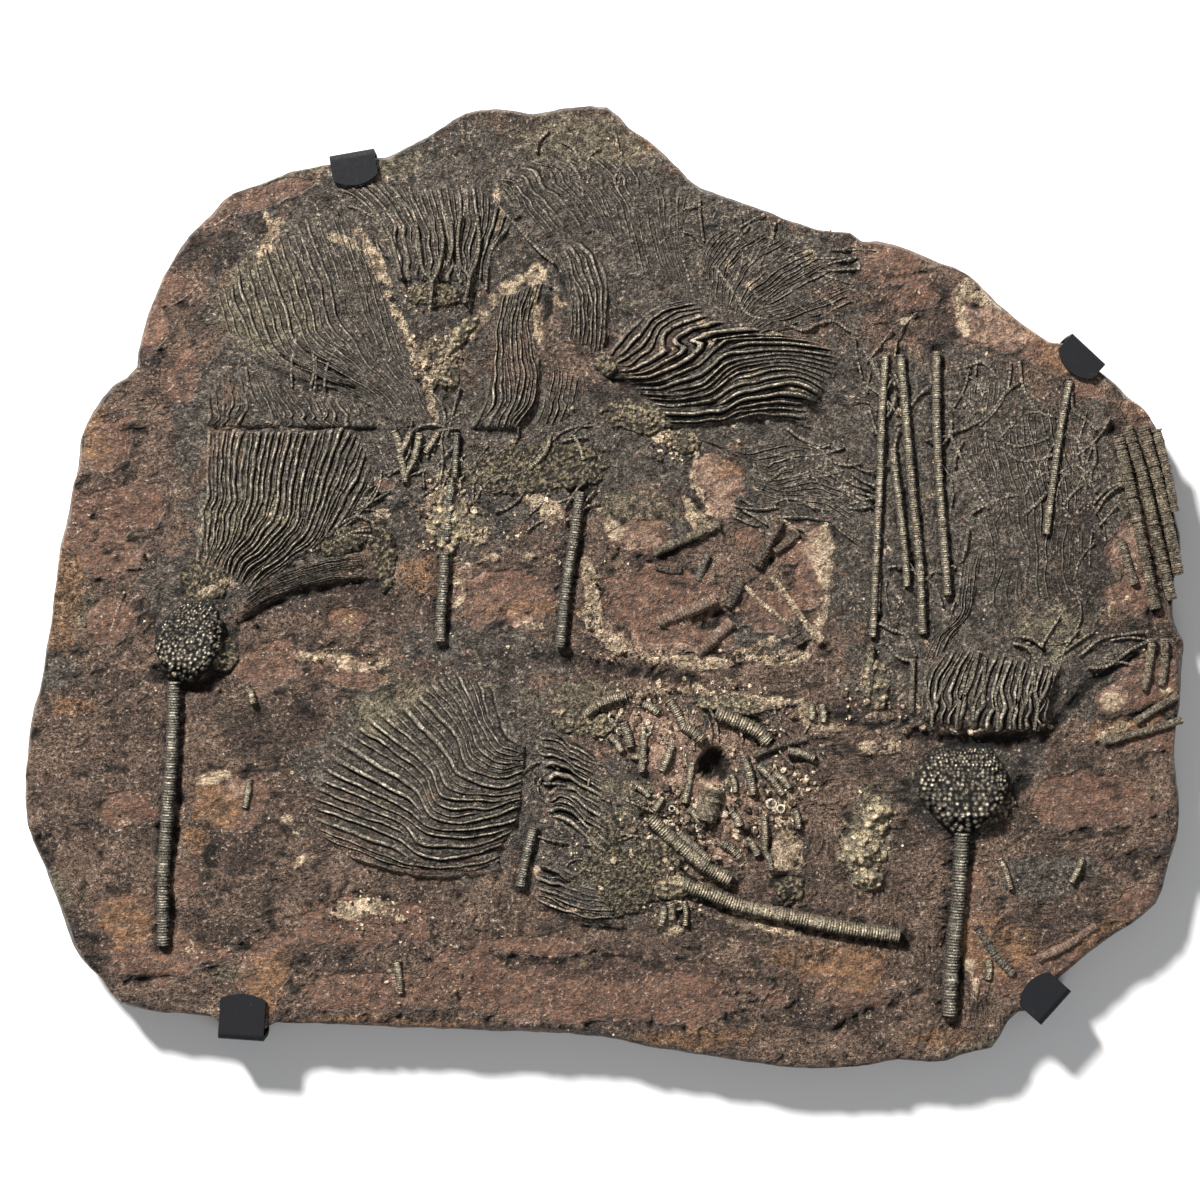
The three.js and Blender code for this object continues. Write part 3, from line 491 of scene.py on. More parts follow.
# Colour patches of the rock: place, the two half sizes and the turn in degrees.
ZONES = {
    "pink": [
        (-345, 333, 36, 14, 35), (-285, 352, 42, 9, 15), (-300, 340, 26, 6, 20), (-388, 266, 30, 16, -8),
        (-402, 226, 18, 26, 0), (-378, 190, 20, 34, 0), (-440, 128, 26, 30, 0), (-424, 70, 36, 26, -8),
        (-440, 26, 34, 20, 10), (-470, 60, 18, 36, 0), (-440, -30, 26, 26, 0), (-424, -196, 28, 20, 0),
        (-424, -290, 30, 24, 0), (-372, -262, 16, 16, 0), (-334, -190, 44, 30, 0), (-395, -325, 60, 26, 0),
        (-300, -345, 24, 40, -15), (-226, -30, 20, 15, 0), (-230, -75, 44, 14, -12), (-300, -70, 40, 22, 0),
        (-90, -10, 50, 26, 0), (-220, -300, 70, 26, 0), (-60, -318, 60, 10, 0), (-200, -360, 90, 20, 0),
        (0, -360, 160, 30, 0), (220, -350, 46, 30, 0), (330, -320, 20, 40, 0), (356, -336, 22, 26, 0),
        (330, -262, 12, 20, 0), (250, 296, 36, 12, -10), (258, 276, 32, 12, -8), (272, 256, 22, 14, 0),
        (345, 230, 44, 22, -15), (392, 206, 30, 16, -30), (424, 176, 20, 8, -15), (474, 150, 20, 10, -40),
        (465, 36, 26, 26, 0), (470, -8, 34, 20, 0), (486, -84, 34, 26, 0), (456, -98, 26, 16, 0),
        (490, -130, 30, 18, 0), (470, -280, 30, 14, 30), (102, 98, 26, 22, -20), (100, 70, 16, 18, 0),
        (50, -14, 64, 34, 0), (30, 44, 30, 18, 0), (70, -46, 52, 12, -4), (172, 36, 28, 22, 0),
        (128, 42, 14, 12, 0), (150, -20, 30, 24, 0), (182, 10, 16, 34, 0), (56, -150, 20, 42, -8),
        (92, -186, 26, 20, 0), (112, -228, 20, 28, 0), (40, -125, 22, 20, 0), (430, -190, 60, 30, 0),
        (400, -330, 50, 16, 25), (-195, 90, 12, 6, 0), (60, -372, 60, 20, 0), (-120, -340, 40, 24, 0),
    ],
    "rose": [
        (72, -158, 34, 46, 8), (112, -140, 34, 22, -20), (124, -196, 26, 30, 0), (104, -236, 30, 14, -30),
        (101, 100, 24, 20, -20), (102, 72, 14, 18, 0),
        (186, 30, 14, 18, 0), (188, -30, 8, 20, 15), (345, 232, 40, 20, -18), (320, 250, 20, 14, 0),
        (465, 36, 18, 16, 0), (452, -98, 14, 12, 0), (160, -230, 14, 20, 0), (10, -40, 20, 12, -20),
        (150, -300, 30, 6, -12), (40, -118, 26, 14, 0), (30, 42, 18, 10, 0), (-330, -180, 16, 10, 0),
        (70, -58, 40, 8, -6), (-236, -66, 24, 8, -20), (-116, 12, 14, 8, 0), (-72, -28, 10, 10, 0),
    ],
    "cream": [
        (-142, 62, 20, 26, -10), (-138, 92, 12, 14, 0), (-118, 48, 18, 10, 0), (-196, 64, 8, 6, 0),
        (195, 30, 9, 28, -5), (-8, -20, 7, 40, 8), (14, -50, 28, 6, -25), (70, -64, 50, 4, -3),
        (165, -62, 28, 4, 0), (140, -50, 18, 3, 30), (82, 58, 8, 16, 25),
        (8, 50, 10, 10, 0), (112, -98, 14, 5, -3), (150, -103, 16, 6, 10), (180, -112, 14, 8, 0),
        (190, -122, 14, 12, 0),
        (160, -234, 14, 22, 0), (160, -205, 9, 20, 0), (-230, -66, 26, 6, -20), (-88, 264, 12, 9, 0),
        (-60, 276, 12, 10, 40), (-58, 232, 6, 26, 10), (-150, 214, 10, 8, 0), (-165, 200, 9, 9, 0),
        (-300, 300, 5, 14, -20), (-292, 318, 10, 3, 50), (-230, 306, 16, 6, -20), (-205, 290, 5, 24, 20),
        (-280, -206, 6, 5, 0), (326, 262, 16, 14, -20), (316, 240, 5, 22, 12), (340, 256, 32, 8, -20),
        (449, -101, 13, 9, 0), (450, -130, 20, 6, 30), (-215, -284, 36, 8, 10), (62, -266, 18, 16, 0),
        (60, -300, 16, 9, 0), (140, -298, 40, 7, -14), (240, -116, 12, 5, 0), (234, -142, 9, 7, 0),
        (255, -140, 8, 6, 0), (-260, -62, 14, 5, 0), (-270, -245, 4, 14, -35), (-98, 26, 8, 5, 0),
        (-68, 26, 7, 5, 0), (-58, -34, 8, 3, 20), (-130, 6, 9, 7, -30), (-64, 78, 14, 8, 0),
        (-46, 66, 12, 10, 0), (182, 292, 6, 8, 0), (130, 268, 7, 7, 0), (268, 236, 8, 4, 0),
        (56, 132, 12, 8, 0), (326, -334, 6, 4, 0), (150, 222, 12, 4, 0), (88, 228, 5, 20, 25),
        (130, 186, 12, 4, 20), (170, 176, 10, 4, 0), (-346, -170, 20, 6, 15), (-340, 0, 20, 6, 20),
    ],
    "ochre": [
        (-454, 148, 14, 12, 40), (-450, 120, 16, 14, 0), (-478, 0, 20, 36, 0), (-482, -40, 18, 22, 0),
        (-468, -106, 22, 9, 0), (-424, -298, 30, 22, 0), (-345, -192, 26, 26, 0), (-296, -346, 18, 40, -18),
        (384, 226, 32, 9, -32), (402, 206, 22, 14, -30), (460, -124, 32, 12, 15), (-180, -386, 80, 8, 0),
        (344, -318, 40, 30, 0), (40, 396, 14, 8, -40), (480, 155, 14, 8, -40), (-170, 400, 26, 6, 28),
        (220, -346, 26, 14, 0), (80, -400, 60, 10, 0), (-60, -20, 44, 10, 0), (-150, 10, 30, 20, 0),
        (300, -400, 40, 8, 0), (440, -310, 30, 12, 35), (200, -330, 60, 14, 0), (110, 104, 14, 10, 0),
        (-360, -225, 14, 12, 0), (-230, -20, 16, 8, 0), (507, -12, 8, 16, 0), (-390, 340, 10, 5, 40),
    ],
    "olive": [
        (-20, 398, 90, 28, -6), (-285, 362, 46, 5, 15), (150, 337, 78, 6, -19), (-180, 376, 26, 14, 10),
        (234, -212, 26, 42, -8), (-330, -340, 26, 10, 0), (-482, -268, 12, 20, 20), (330, -408, 26, 9, 15),
        (-192, -104, 42, 26, 25), (0, -178, 46, 12, 0), (40, -200, 30, 14, 0), (-464, -20, 22, 20, 0),
        (-300, 250, 46, 50, 0), (-340, 50, 24, 26, 0), (-310, 60, 40, 26, 45), (400, -40, 40, 30, 0),
        (-20, -96, 60, 14, 0), (30, 66, 40, 20, 0), (30, -250, 40, 40, 0), (480, 90, 24, 60, 15),
    ],
    "grey": [
        (-110, 320, 260, 100, 0), (60, 290, 180, 90, -8), (300, 80, 150, 150, 0), (-235, 210, 130, 150, 0),
        (-100, -56, 90, 26, -8), (-370, -8, 44, 44, 0), (430, 60, 36, 110, 0), (430, -76, 60, 40, 25),
        (-150, 110, 160, 90, 0), (30, 130, 130, 60, 0), (-140, -160, 140, 100, 0), (10, -220, 90, 90, 0),
        (390, -256, 50, 22, 10), (-484, -74, 30, 16, 10), (150, 170, 130, 70, 0),
        (360, -150, 40, 30, 0), (90, 60, 60, 10, 20), (140, -40, 50, 20, 0), (-366, 150, 20, 60, 0),
        (170, 90, 60, 60, 0), (-290, 62, 90, 84, 0), (330, -64, 120, 74, 0), (320, -180, 66, 46, 0),
        (100, -150, 60, 60, 0),
    ],
    # Dark rock; the patches under the left crown's flank, in the grooves across the middle and below the
    # right crown, and in the deep pit are painted shadow.
    "dark": [
        (-458, -326, 28, 40, 20), (-496, -230, 14, 24, 0), (-290, -128, 64, 26, 25), (-240, -8, 60, 16, 8),
        (-60, -64, 64, 8, -5), (20, -76, 50, 6, -3), (345, -138, 60, 7, 0), (225, -112, 44, 12, 0),
        (476, -244, 30, 14, 0), (-440, -86, 46, 10, 10), (-76, 412, 30, 12, 0), (-396, 200, 20, 10, 0),
        (470, -40, 50, 12, 0), (20, 172, 50, 14, 0), (-10, 222, 22, 30, 10), (-420, -372, 16, 10, 0),
        (100, -296, 60, 12, -15), (290, 222, 26, 12, 0), (-340, 300, 20, 20, 0), (192, -150, 20, 26, 0),
        (-366, 300, 12, 26, -30), (300, -200, 60, 20, 30), (420, 30, 30, 60, 0), (-150, 224, 20, 10, 30),
        (97, -156, 9, 12, 0), (0, -338, 80, 12, 0), (-250, -326, 44, 12, 8), (200, -382, 60, 12, 0),
        (-326, -236, 30, 20, 0), (120, -346, 40, 8, -10), (-150, -378, 50, 8, 0),
    ],
}


# ------------------------------------------------------------------ noise and curves

_random = np.random.default_rng(11)
SHUFFLE = np.tile(_random.permutation(256), 2)
DIRECTIONS = _random.uniform(0, 2 * np.pi, 256)


def noise(x, y, seed=0):
    """Smooth noise of about -0.7 to 0.7, one bump per unit."""
    column = np.floor(x).astype(int)
    row = np.floor(y).astype(int)
    fx = x - column
    fy = y - row

    def corner(dx, dy):
        key = SHUFFLE[SHUFFLE[(column + dx + 37 * seed) & 255] + ((row + dy) & 255)]
        angle = DIRECTIONS[key]
        return np.cos(angle) * (fx - dx) + np.sin(angle) * (fy - dy)

    u = fx**3 * (fx * (fx * 6 - 15) + 10)
    v = fy**3 * (fy * (fy * 6 - 15) + 10)
    low = corner(0, 0) * (1 - u) + corner(1, 0) * u
    high = corner(0, 1) * (1 - u) + corner(1, 1) * u
    return low * (1 - v) + high * v


def layered(x, y, size, seed, octaves=3, gain=0.55):
    """Noise whose broadest bumps are size mm wide, with finer ones on top."""
    total = 0
    for octave in range(octaves):
        scale = 2**octave / size
        total = total + gain**octave * noise(x * scale, y * scale, seed + octave)
    return total


def smooth_step(low, high, value):
    t = np.clip((value - low) / (high - low), 0, 1)
    return t * t * (3 - 2 * t)


def blend_four(a, b, c, d, t):
    """Catmull-Rom curve between b and c."""
    square = t * t
    return 0.5 * (
        2 * b + (c - a) * t + (2 * a - 5 * b + 4 * c - d) * square + (3 * b - a - 3 * c + d) * square * t
    )


def spline(points, count):
    """count points at even steps along a smooth curve through a few given ones."""
    p = np.array(points, float)
    p = np.vstack([2 * p[0] - p[1], p, 2 * p[-1] - p[-2]])
    t = np.linspace(0, 1, 24, endpoint=False)[:, None]
    pieces = [blend_four(a, b, c, d, t) for a, b, c, d in zip(p, p[1:], p[2:], p[3:])]
    fine = np.vstack(pieces + [p[-2:-1]])
    run = np.concatenate([[0], np.cumsum(np.linalg.norm(np.diff(fine, axis=0), axis=1))])
    at = np.linspace(0, run[-1], count)
    return np.stack([np.interp(at, run, fine[:, axis]) for axis in range(p.shape[1])], axis=1)


def line_length(points):
    return float(np.linalg.norm(np.diff(np.array(points, float), axis=0), axis=1).sum())


def line_distance(x, y, line):
    """Distance from each point to a line of straight stretches."""
    nearest = np.full(np.shape(x), FAR)
    for (ax, ay), (bx, by) in zip(line, line[1:]):
        dx = bx - ax
        dy = by - ay
        t = np.clip(((x - ax) * dx + (y - ay) * dy) / (dx * dx + dy * dy), 0, 1)
        nearest = np.minimum(nearest, np.hypot(x - ax - t * dx, y - ay - t * dy))
    return nearest


# ------------------------------------------------------------------ the frame's shape


def frame_tree(node):
    mesh = node.data
    return BVHTree.FromPolygons([v.co for v in mesh.vertices], [list(p.vertices) for p in mesh.polygons])


SLAB_TREE = frame_tree(SLAB)


def window_filter(grid, reach, pick):
    """The least or greatest value, or the mean, within reach cells of each cell."""
    for axis in (0, 1):
        padded = np.pad(grid, [(reach, reach) if a == axis else (0, 0) for a in (0, 1)], mode="edge")
        length = grid.shape[axis]
        shifted = [np.take(padded, range(k, k + length), axis=axis) for k in range(2 * reach + 1)]
        grid = pick(np.stack(shifted), axis=0)
    return grid


def read_ground():
    """Heights of the frame's front face on a grid, smoothed, with the stems taken off it."""
    low, high = CAD_BOX
    xs = np.arange(low.x / MM - 8, high.x / MM + 8, GROUND_STEP)
    ys = np.arange(low.y / MM - 8, high.y / MM + 8, GROUND_STEP)
    grid = np.full((len(xs), len(ys)), float(RIM_HEIGHT))
    for i, x in enumerate(xs):
        for j, y in enumerate(ys):
            hit = SLAB_TREE.ray_cast(Vector((x * MM, y * MM, ABOVE_ALL)), Vector((0, 0, -1)))[0]
            if hit is not None and hit.z / MM > RIM_HEIGHT - 4:
                grid[i, j] = hit.z / MM
    grid = window_filter(grid, 2, np.min)
    grid = window_filter(grid, 2, np.max)
    grid = window_filter(grid, 1, np.mean)
    return xs, ys, window_filter(grid, 1, np.mean)


GROUND_X, GROUND_Y, GROUND = read_ground()


def look_up(grid, x, y):
    """Value of a ground-sized grid at any place."""
    i = np.clip((x - GROUND_X[0]) / GROUND_STEP, 0, grid.shape[0] - 1.001)
    j = np.clip((y - GROUND_Y[0]) / GROUND_STEP, 0, grid.shape[1] - 1.001)
    low_i = i.astype(int)
    low_j = j.astype(int)
    fi = i - low_i
    fj = j - low_j
    first = grid[low_i, low_j] * (1 - fi) + grid[low_i + 1, low_j] * fi
    second = grid[low_i, low_j + 1] * (1 - fi) + grid[low_i + 1, low_j + 1] * fi
    return first * (1 - fj) + second * fj


def read_tongues():
    """Middle and reach of each clip's front tongue."""
    tongues = []
    for name in CLIPS:
        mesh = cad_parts[name].data
        top = np.array([v.co[:2] for v in mesh.vertices if v.co.z > 0.9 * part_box(name)[1].z]) / MM
        middle = (top.min(axis=0) + top.max(axis=0)) / 2
        tongues.append((middle, np.linalg.norm(top - middle, axis=1).max()))
    return tongues


TONGUES = read_tongues()


def clear_of_clips(x, y):
    """0 under a clip's tongue, 1 away from it."""
    clear = 1
    for (cx, cy), reach in TONGUES:
        clear = np.minimum(clear, smooth_step(reach - 1, reach + 12, np.hypot(x - cx, y - cy)))
    return clear


def bed_height(x, y):
    """The face without its fine relief, which crowns and stems lie on."""
    swell = 1.3 * layered(x, y, 62, 5, 2)
    return look_up(GROUND, x, y) + swell * clear_of_clips(x, y)


# ------------------------------------------------------------------ meshes


class Shell:
    """Vertices, faces and named values of one mesh, gathered part by part."""

    def __init__(self):
        self.points = []
        self.faces = []
        self.values = {}
        self.count = 0

    def add(self, points, faces, **values):
        self.points.append(points)
        self.faces.extend([tuple(corner + self.count for corner in face) for face in faces])
        for name, value in values.items():
            filled = np.broadcast_to(np.asarray(value, float), (len(points),))
            self.values.setdefault(name, []).append(filled)
        self.count += len(points)

    def piece(self, name, material, slot, smooth=True):
        """The shell as a Blender object that rides on the frame."""
        mesh = bpy.data.meshes.new(name)
        points = np.vstack(self.points)
        points[:, 2] = np.minimum(points[:, 2], TOP_HEIGHT)
        mesh.from_pydata((points * MM).tolist(), [], self.faces)
        for key, parts in self.values.items():
            layer = mesh.attributes.new(key, "FLOAT", "POINT")
            layer.data.foreach_set("value", np.concatenate(parts).astype(np.float32))
        mesh.polygons.foreach_set("use_smooth", [smooth] * len(mesh.polygons))
        mesh.materials.append(material)
        mesh.update()
        made = bpy.data.objects.new(name, mesh)
        bpy.context.scene.collection.objects.link(made)
        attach(made, "root")
        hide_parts("slab")


def grid_faces(columns, rows, flip=False):
    """Quads of a grid whose points are stored column by column."""
    faces = []
    for c in range(columns - 1):
        for r in range(rows - 1):
            a = c * rows + r
            quad = (a, a + rows, a + rows + 1, a + 1)
            faces.append(quad[::-1] if flip else quad)
    return faces


def grid_rim(columns, rows):
    """Numbers of a grid's outer points, in order, starting along row 0."""
    bottom = [c * rows for c in range(columns)]
    right = [(columns - 1) * rows + r for r in range(1, rows)]
    top = [c * rows + rows - 1 for c in range(columns - 2, -1, -1)]
    left = list(range(rows - 2, 0, -1))
    return bottom + right + top + left


def band(above, below, flip=False):
    """Quads between two closed rings of point numbers."""
    quads = zip(above, below, below[1:] + below[:1], above[1:] + above[:1])
    return [quad[::-1] if flip else quad for quad in quads]


def closed_sheet(x, y, z, flip=False):
    """A grid of points, closed by a wall down from its rim and a floor in the rock's core."""
    points = np.stack([x, y, z], axis=2).reshape(-1, 3)
    rim = grid_rim(*x.shape)
    skirt = points[rim].copy()
    skirt[:, 2] = CORE_HEIGHT
    below = list(range(len(points), len(points) + len(rim)))
    floor = tuple(below) if flip else tuple(below[::-1])
    faces = grid_faces(*x.shape, flip) + band(rim, below, flip) + [floor]
    return np.vstack([points, skirt]), faces, rim


def with_skirt(values, rim):
    """A grid's values, with those of its rim again for the wall's lower points."""
    flat = values.reshape(-1)
    return np.concatenate([flat, flat[rim]])


def ring_wall(above, below, count):
    """Quads between two rings of count points each, that start at these point numbers."""
    afters = [(k + 1) % count for k in range(count)]
    return [(above + k, above + after, below + after, below + k) for k, after in enumerate(afters)]


def tube_faces(rings, sides, flip=False):
    """Walls between the rings of a tube, and a cap on each of its ends."""
    faces = []
    for ring in range(rings - 1):
        faces += ring_wall(ring * sides, (ring + 1) * sides, sides)
    faces.append(tuple(range(sides)))
    faces.append(tuple((rings - 1) * sides + k for k in range(sides))[::-1])
    return [face[::-1] for face in faces] if flip else faces


# ------------------------------------------------------------------ materials


class Nodes:
    """Short calls that build one material's nodes. Sizes are in millimetres."""

    def __init__(self, name):
        self.material = bpy.data.materials.new(name)
        self.material.use_nodes = True
        self.tree = self.material.node_tree
        self.tree.nodes.clear()
        self.place = self.node("ShaderNodeTexCoord").outputs["Object"]

    def node(self, kind, sockets=None, **settings):
        made = self.tree.nodes.new(kind)
        for key, value in settings.items():
            setattr(made, key, value)
        for key, value in (sockets or {}).items():
            if isinstance(value, bpy.types.NodeSocket):
                self.tree.links.new(value, made.inputs[key])
            else:
                made.inputs[key].default_value = value
        return made

    def noise(self, size, detail=3.0, rough=0.6, stretch=(1, 1, 1), warp=0.0):
        scale = [1 / (size * MM * s) for s in stretch]
        place = self.node("ShaderNodeVectorMath", {0: self.place, 1: scale}, operation="MULTIPLY")
        sockets = {"Vector": place.outputs[0], "Scale": 1.0, "Detail": detail, "Roughness": rough,
                   "Distortion": warp}
        return self.node("ShaderNodeTexNoise", sockets).outputs["Fac"]

    def cells(self, size, feature="F1"):
        sockets = {"Vector": self.place, "Scale": 1 / (size * MM)}
        return self.node("ShaderNodeTexVoronoi", sockets, feature=feature).outputs["Distance"]

    def value(self, name):
        return self.node("ShaderNodeAttribute", attribute_name=name).outputs["Fac"]

    def math(self, operation, a, b=0.0, c=0.0):
        return self.node("ShaderNodeMath", {0: a, 1: b, 2: c}, operation=operation).outputs[0]

    def step(self, low, high, value):
        """0 below low, 1 above high, smooth between them."""
        sockets = {"Value": value, "From Min": low, "From Max": high}
        made = self.node("ShaderNodeMapRange", sockets, interpolation_type="SMOOTHSTEP")
        return made.outputs["Result"]

    def ramp(self, value, *stops):
        made = self.node("ShaderNodeValToRGB", {"Fac": value})
        elements = made.color_ramp.elements
        while len(elements) < len(stops):
            elements.new(0.5)
        for element, (position, colour) in zip(elements, stops):
            element.position = position
            element.color = (*colour, 1)
        return made.outputs["Color"]

    def mix(self, factor, a, b, blend="MIX"):
        made = self.node("ShaderNodeMix", {0: factor}, data_type="RGBA", blend_type=blend)
        for index, value in ((6, a), (7, b)):
            if isinstance(value, bpy.types.NodeSocket):
                self.tree.links.new(value, made.inputs[index])
            else:
                made.inputs[index].default_value = (*value, 1)
        return made.outputs[2]

    def shade(self, colour, factor):
        """The colour times a number."""
        grey = self.node("ShaderNodeCombineColor", {0: factor, 1: factor, 2: factor}).outputs[0]
        return self.mix(1.0, colour, grey, "MULTIPLY")

    def finish(self, colour, height, **settings):
        """The surface, with its bump height in millimetres."""
        bump = self.node("ShaderNodeBump", {"Height": height, "Distance": MM, "Strength": 1.0})
        surface = self.node("ShaderNodeBsdfPrincipled", {"Base Color": colour, **settings})
        self.tree.links.new(bump.outputs["Normal"], surface.inputs["Normal"])
        output = self.node("ShaderNodeOutputMaterial")
        self.tree.links.new(surface.outputs[0], output.inputs["Surface"])
        return self.material


def grain(nodes):
    """Fine stone grain: a number round 1 for the colour and a height for the bump."""
    coarse = nodes.noise(3.2, 3.0, 0.7)
    fine = nodes.noise(1.3, 2.0, 0.7)
    both = nodes.math("ADD", nodes.math("MULTIPLY", coarse, 0.5), nodes.math("MULTIPLY", fine, 0.5))
    tone = nodes.node("ShaderNodeMapRange", {"Value": both, "From Min": 0.41, "From Max": 0.60,
                                             "To Min": 0.20, "To Max": 2.12}).outputs["Result"]
    return tone, nodes.math("MULTIPLY", both, 14.0)


def patch_colours(nodes, colour, ragged):
    """The coloured patches of the rock, laid over its plain brown."""
    palette = [
        ("grey", (0.140, 0.121, 0.099), (0.060, 0.052, 0.044), 0.9),
        ("olive", (0.240, 0.202, 0.135), (0.105, 0.089, 0.062), 0.72),
        ("pink", (0.224, 0.113, 0.073), (0.088, 0.050, 0.037), 0.62),
        ("rose", (0.400, 0.262, 0.188), (0.175, 0.112, 0.082), 0.85),
        ("ochre", (0.330, 0.180, 0.088), (0.145, 0.084, 0.048), 0.62),
        ("cream", (0.640, 0.495, 0.340), (0.225, 0.165, 0.105), 0.88),
        # The dark patches include painted shadow in grooves, under crown edges and in the deep pit.
        ("dark", (0.062, 0.043, 0.036), (0.028, 0.021, 0.018), 0.62),
    ]
    mottle = nodes.step(0.38, 0.62, nodes.noise(9, 4.0, 0.65))
    wander = nodes.math("MULTIPLY", nodes.math("SUBTRACT", ragged, 0.5), 1.6)
    for name, light, deep, strength in palette:
        edge = nodes.math("ADD", nodes.value(name), wander)
        mask = nodes.math("MULTIPLY", nodes.step(0.44, 0.60, edge), strength)
        colour = nodes.mix(mask, colour, nodes.mix(mottle, deep, light))
    return colour


def rock_material():
    """Rock and the crowns in it. The crowns have ridges, grooves and strands along their arms. The crests get
    a painted highlight, and the hollows and grooves painted shade.
    """
    nodes = Nodes("fossil rock")
    tone, height = grain(nodes)
    broad = nodes.noise(46, 4.0, 0.6)
    ragged = nodes.noise(8, 5.0, 0.7, warp=0.3)
    colour = nodes.ramp(broad, (0.36, (0.084, 0.058, 0.045)), (0.62, (0.206, 0.139, 0.101)))
    colour = patch_colours(nodes, colour, ragged)
    flow = nodes.node("ShaderNodeCombineXYZ", {
        0: nodes.math("MULTIPLY", nodes.value("along"), 0.11),
        1: nodes.math("MULTIPLY", nodes.value("across"), 1.9),
    })
    flow_noise = nodes.node("ShaderNodeTexNoise", {"Vector": flow.outputs[0], "Scale": 1.0, "Detail": 2.0})
    strands = nodes.math("MULTIPLY", flow_noise.outputs["Fac"], nodes.value("arms"))
    arms_dark = nodes.math("MULTIPLY_ADD", strands, -1.1, 1.45)
    colour = nodes.shade(colour, nodes.node("ShaderNodeMix", {0: nodes.value("arms"), 2: 1.0, 3: arms_dark})
                         .outputs[0])
    # Painted highlight: the crowns' crests are lightened towards a pale tan, broken up by speck.
    speck = nodes.step(0.40, 0.66, nodes.noise(6.0, 3.0, 0.6))
    crest = nodes.math("MULTIPLY", nodes.value("ridge"), nodes.math("MULTIPLY_ADD", speck, 0.65, 0.26))
    colour = nodes.mix(crest, colour, (0.82, 0.72, 0.56))
    flecks = nodes.step(0.60, 0.66, nodes.noise(3.2, 3.0, 0.65))
    patches = nodes.node("ShaderNodeMapRange", {"Value": nodes.noise(26, 3.0, 0.6), "From Min": 0.42,
                                                "From Max": 0.62, "To Min": 0.2, "To Max": 0.9})
    flecks = nodes.math("MULTIPLY", flecks, patches.outputs["Result"])
    colour = nodes.mix(flecks, colour, (0.40, 0.32, 0.245))
    smooth = nodes.math("MULTIPLY", nodes.step(0.45, 0.6, nodes.value("pink")), 0.5)
    colour = nodes.shade(colour, nodes.node("ShaderNodeMix", {0: smooth, 2: tone, 3: 1.05}).outputs[0])
    # Painted shade: hollows, grooves and the gaps between crests are darkened almost to black.
    hollow = nodes.step(0.0, 1.0, nodes.value("hollow"))
    colour = nodes.mix(nodes.math("MULTIPLY", hollow, 0.92), colour, (0.008, 0.007, 0.006))
    height = nodes.math("MULTIPLY", height, nodes.math("SUBTRACT", 1.0, smooth))
    medium = nodes.math("MULTIPLY", nodes.noise(22, 5.0, 0.6), 16.0)
    rough = nodes.math("SUBTRACT", nodes.math("ADD", height, medium), nodes.cells(3.6))
    return nodes.finish(colour, nodes.math("ADD", rough, nodes.math("MULTIPLY", strands, 2.6)), **{
        "Roughness": nodes.step(-0.5, 1.6, ragged),
        "Specular IOR Level": 0.3,
    })


def stem_material():
    """Stem discs, pale on their crests and dark between them, greyer or warmer by their tint. The crests'
    paleness is a painted highlight, brightest on each stem's top and fading to painted shade down its sides.
    """
    nodes = Nodes("stem stone")
    tone, height = grain(nodes)
    ridge = nodes.value("ridge")
    plain = nodes.ramp(ridge, (0.0, (0.018, 0.015, 0.012)), (0.45, (0.070, 0.062, 0.048)),
                       (0.75, (0.185, 0.165, 0.128)), (1.0, (0.640, 0.570, 0.450)))
    warm = nodes.ramp(ridge, (0.0, (0.026, 0.021, 0.014)), (0.45, (0.125, 0.101, 0.068)),
                      (0.75, (0.320, 0.265, 0.178)), (1.0, (0.760, 0.640, 0.450)))
    colour = nodes.mix(nodes.value("pale"), plain, warm)
    colour = nodes.shade(colour, tone)
    return nodes.finish(colour, nodes.math("MULTIPLY", height, 0.4), **{
        "Roughness": nodes.step(-0.5, 2.2, nodes.noise(8)),
        "Specular IOR Level": 0.5,
    })


def bead_material():
    """The cups' plates: each plate's top gets a painted highlight, and the gaps between the plates painted
    shade, near black.
    """
    nodes = Nodes("cup plates")
    tone, height = grain(nodes)
    colour = nodes.ramp(nodes.value("ridge"), (0.0, (0.004, 0.004, 0.003)), (0.35, (0.016, 0.014, 0.011)),
                        (0.68, (0.120, 0.102, 0.078)), (1.0, (0.720, 0.620, 0.475)))
    colour = nodes.shade(colour, tone)
    return nodes.finish(colour, nodes.math("MULTIPLY", height, 0.35), **{
        "Roughness": nodes.step(-0.8, 2.6, nodes.math("MULTIPLY", nodes.noise(6), 2.0)),
        "Specular IOR Level": 0.25,
    })


def rubble_material():
    """Grains set in the rock, paler or darker by their tint. Each grain's top gets a painted highlight and
    its foot painted shade.
    """
    nodes = Nodes("grainy rubble")
    tone, height = grain(nodes)
    colour = nodes.ramp(nodes.value("ridge"), (0.0, (0.034, 0.028, 0.021)), (0.35, (0.105, 0.088, 0.063)),
                        (0.75, (0.250, 0.200, 0.126)), (1.0, (0.480, 0.390, 0.255)))
    colour = nodes.shade(colour, nodes.math("MULTIPLY_ADD", nodes.value("tint"), 1.1, 0.5))
    colour = nodes.shade(colour, tone)
    return nodes.finish(colour, nodes.math("MULTIPLY", height, 0.6), **{
        "Roughness": nodes.step(-0.9, 2.0, nodes.math("MULTIPLY", nodes.noise(5), 2.0)),
        "Specular IOR Level": 0.25,
    })


def chip_material():
    """Stone chips, each with its own paleness."""
    nodes = Nodes("stone chips")
    tone, height = grain(nodes)
    pale = nodes.value("pale")
    colour = nodes.ramp(pale, (0.0, (0.040, 0.031, 0.026)), (0.5, (0.210, 0.150, 0.105)),
                        (1.0, (0.620, 0.500, 0.360)))
    colour = nodes.shade(colour, tone)
    return nodes.finish(colour, nodes.math("MULTIPLY", height, 0.4), **{
        "Roughness": nodes.step(-0.9, 2.0, nodes.math("MULTIPLY", nodes.noise(5), 2.0)),
        "Specular IOR Level": 0.15,
    })


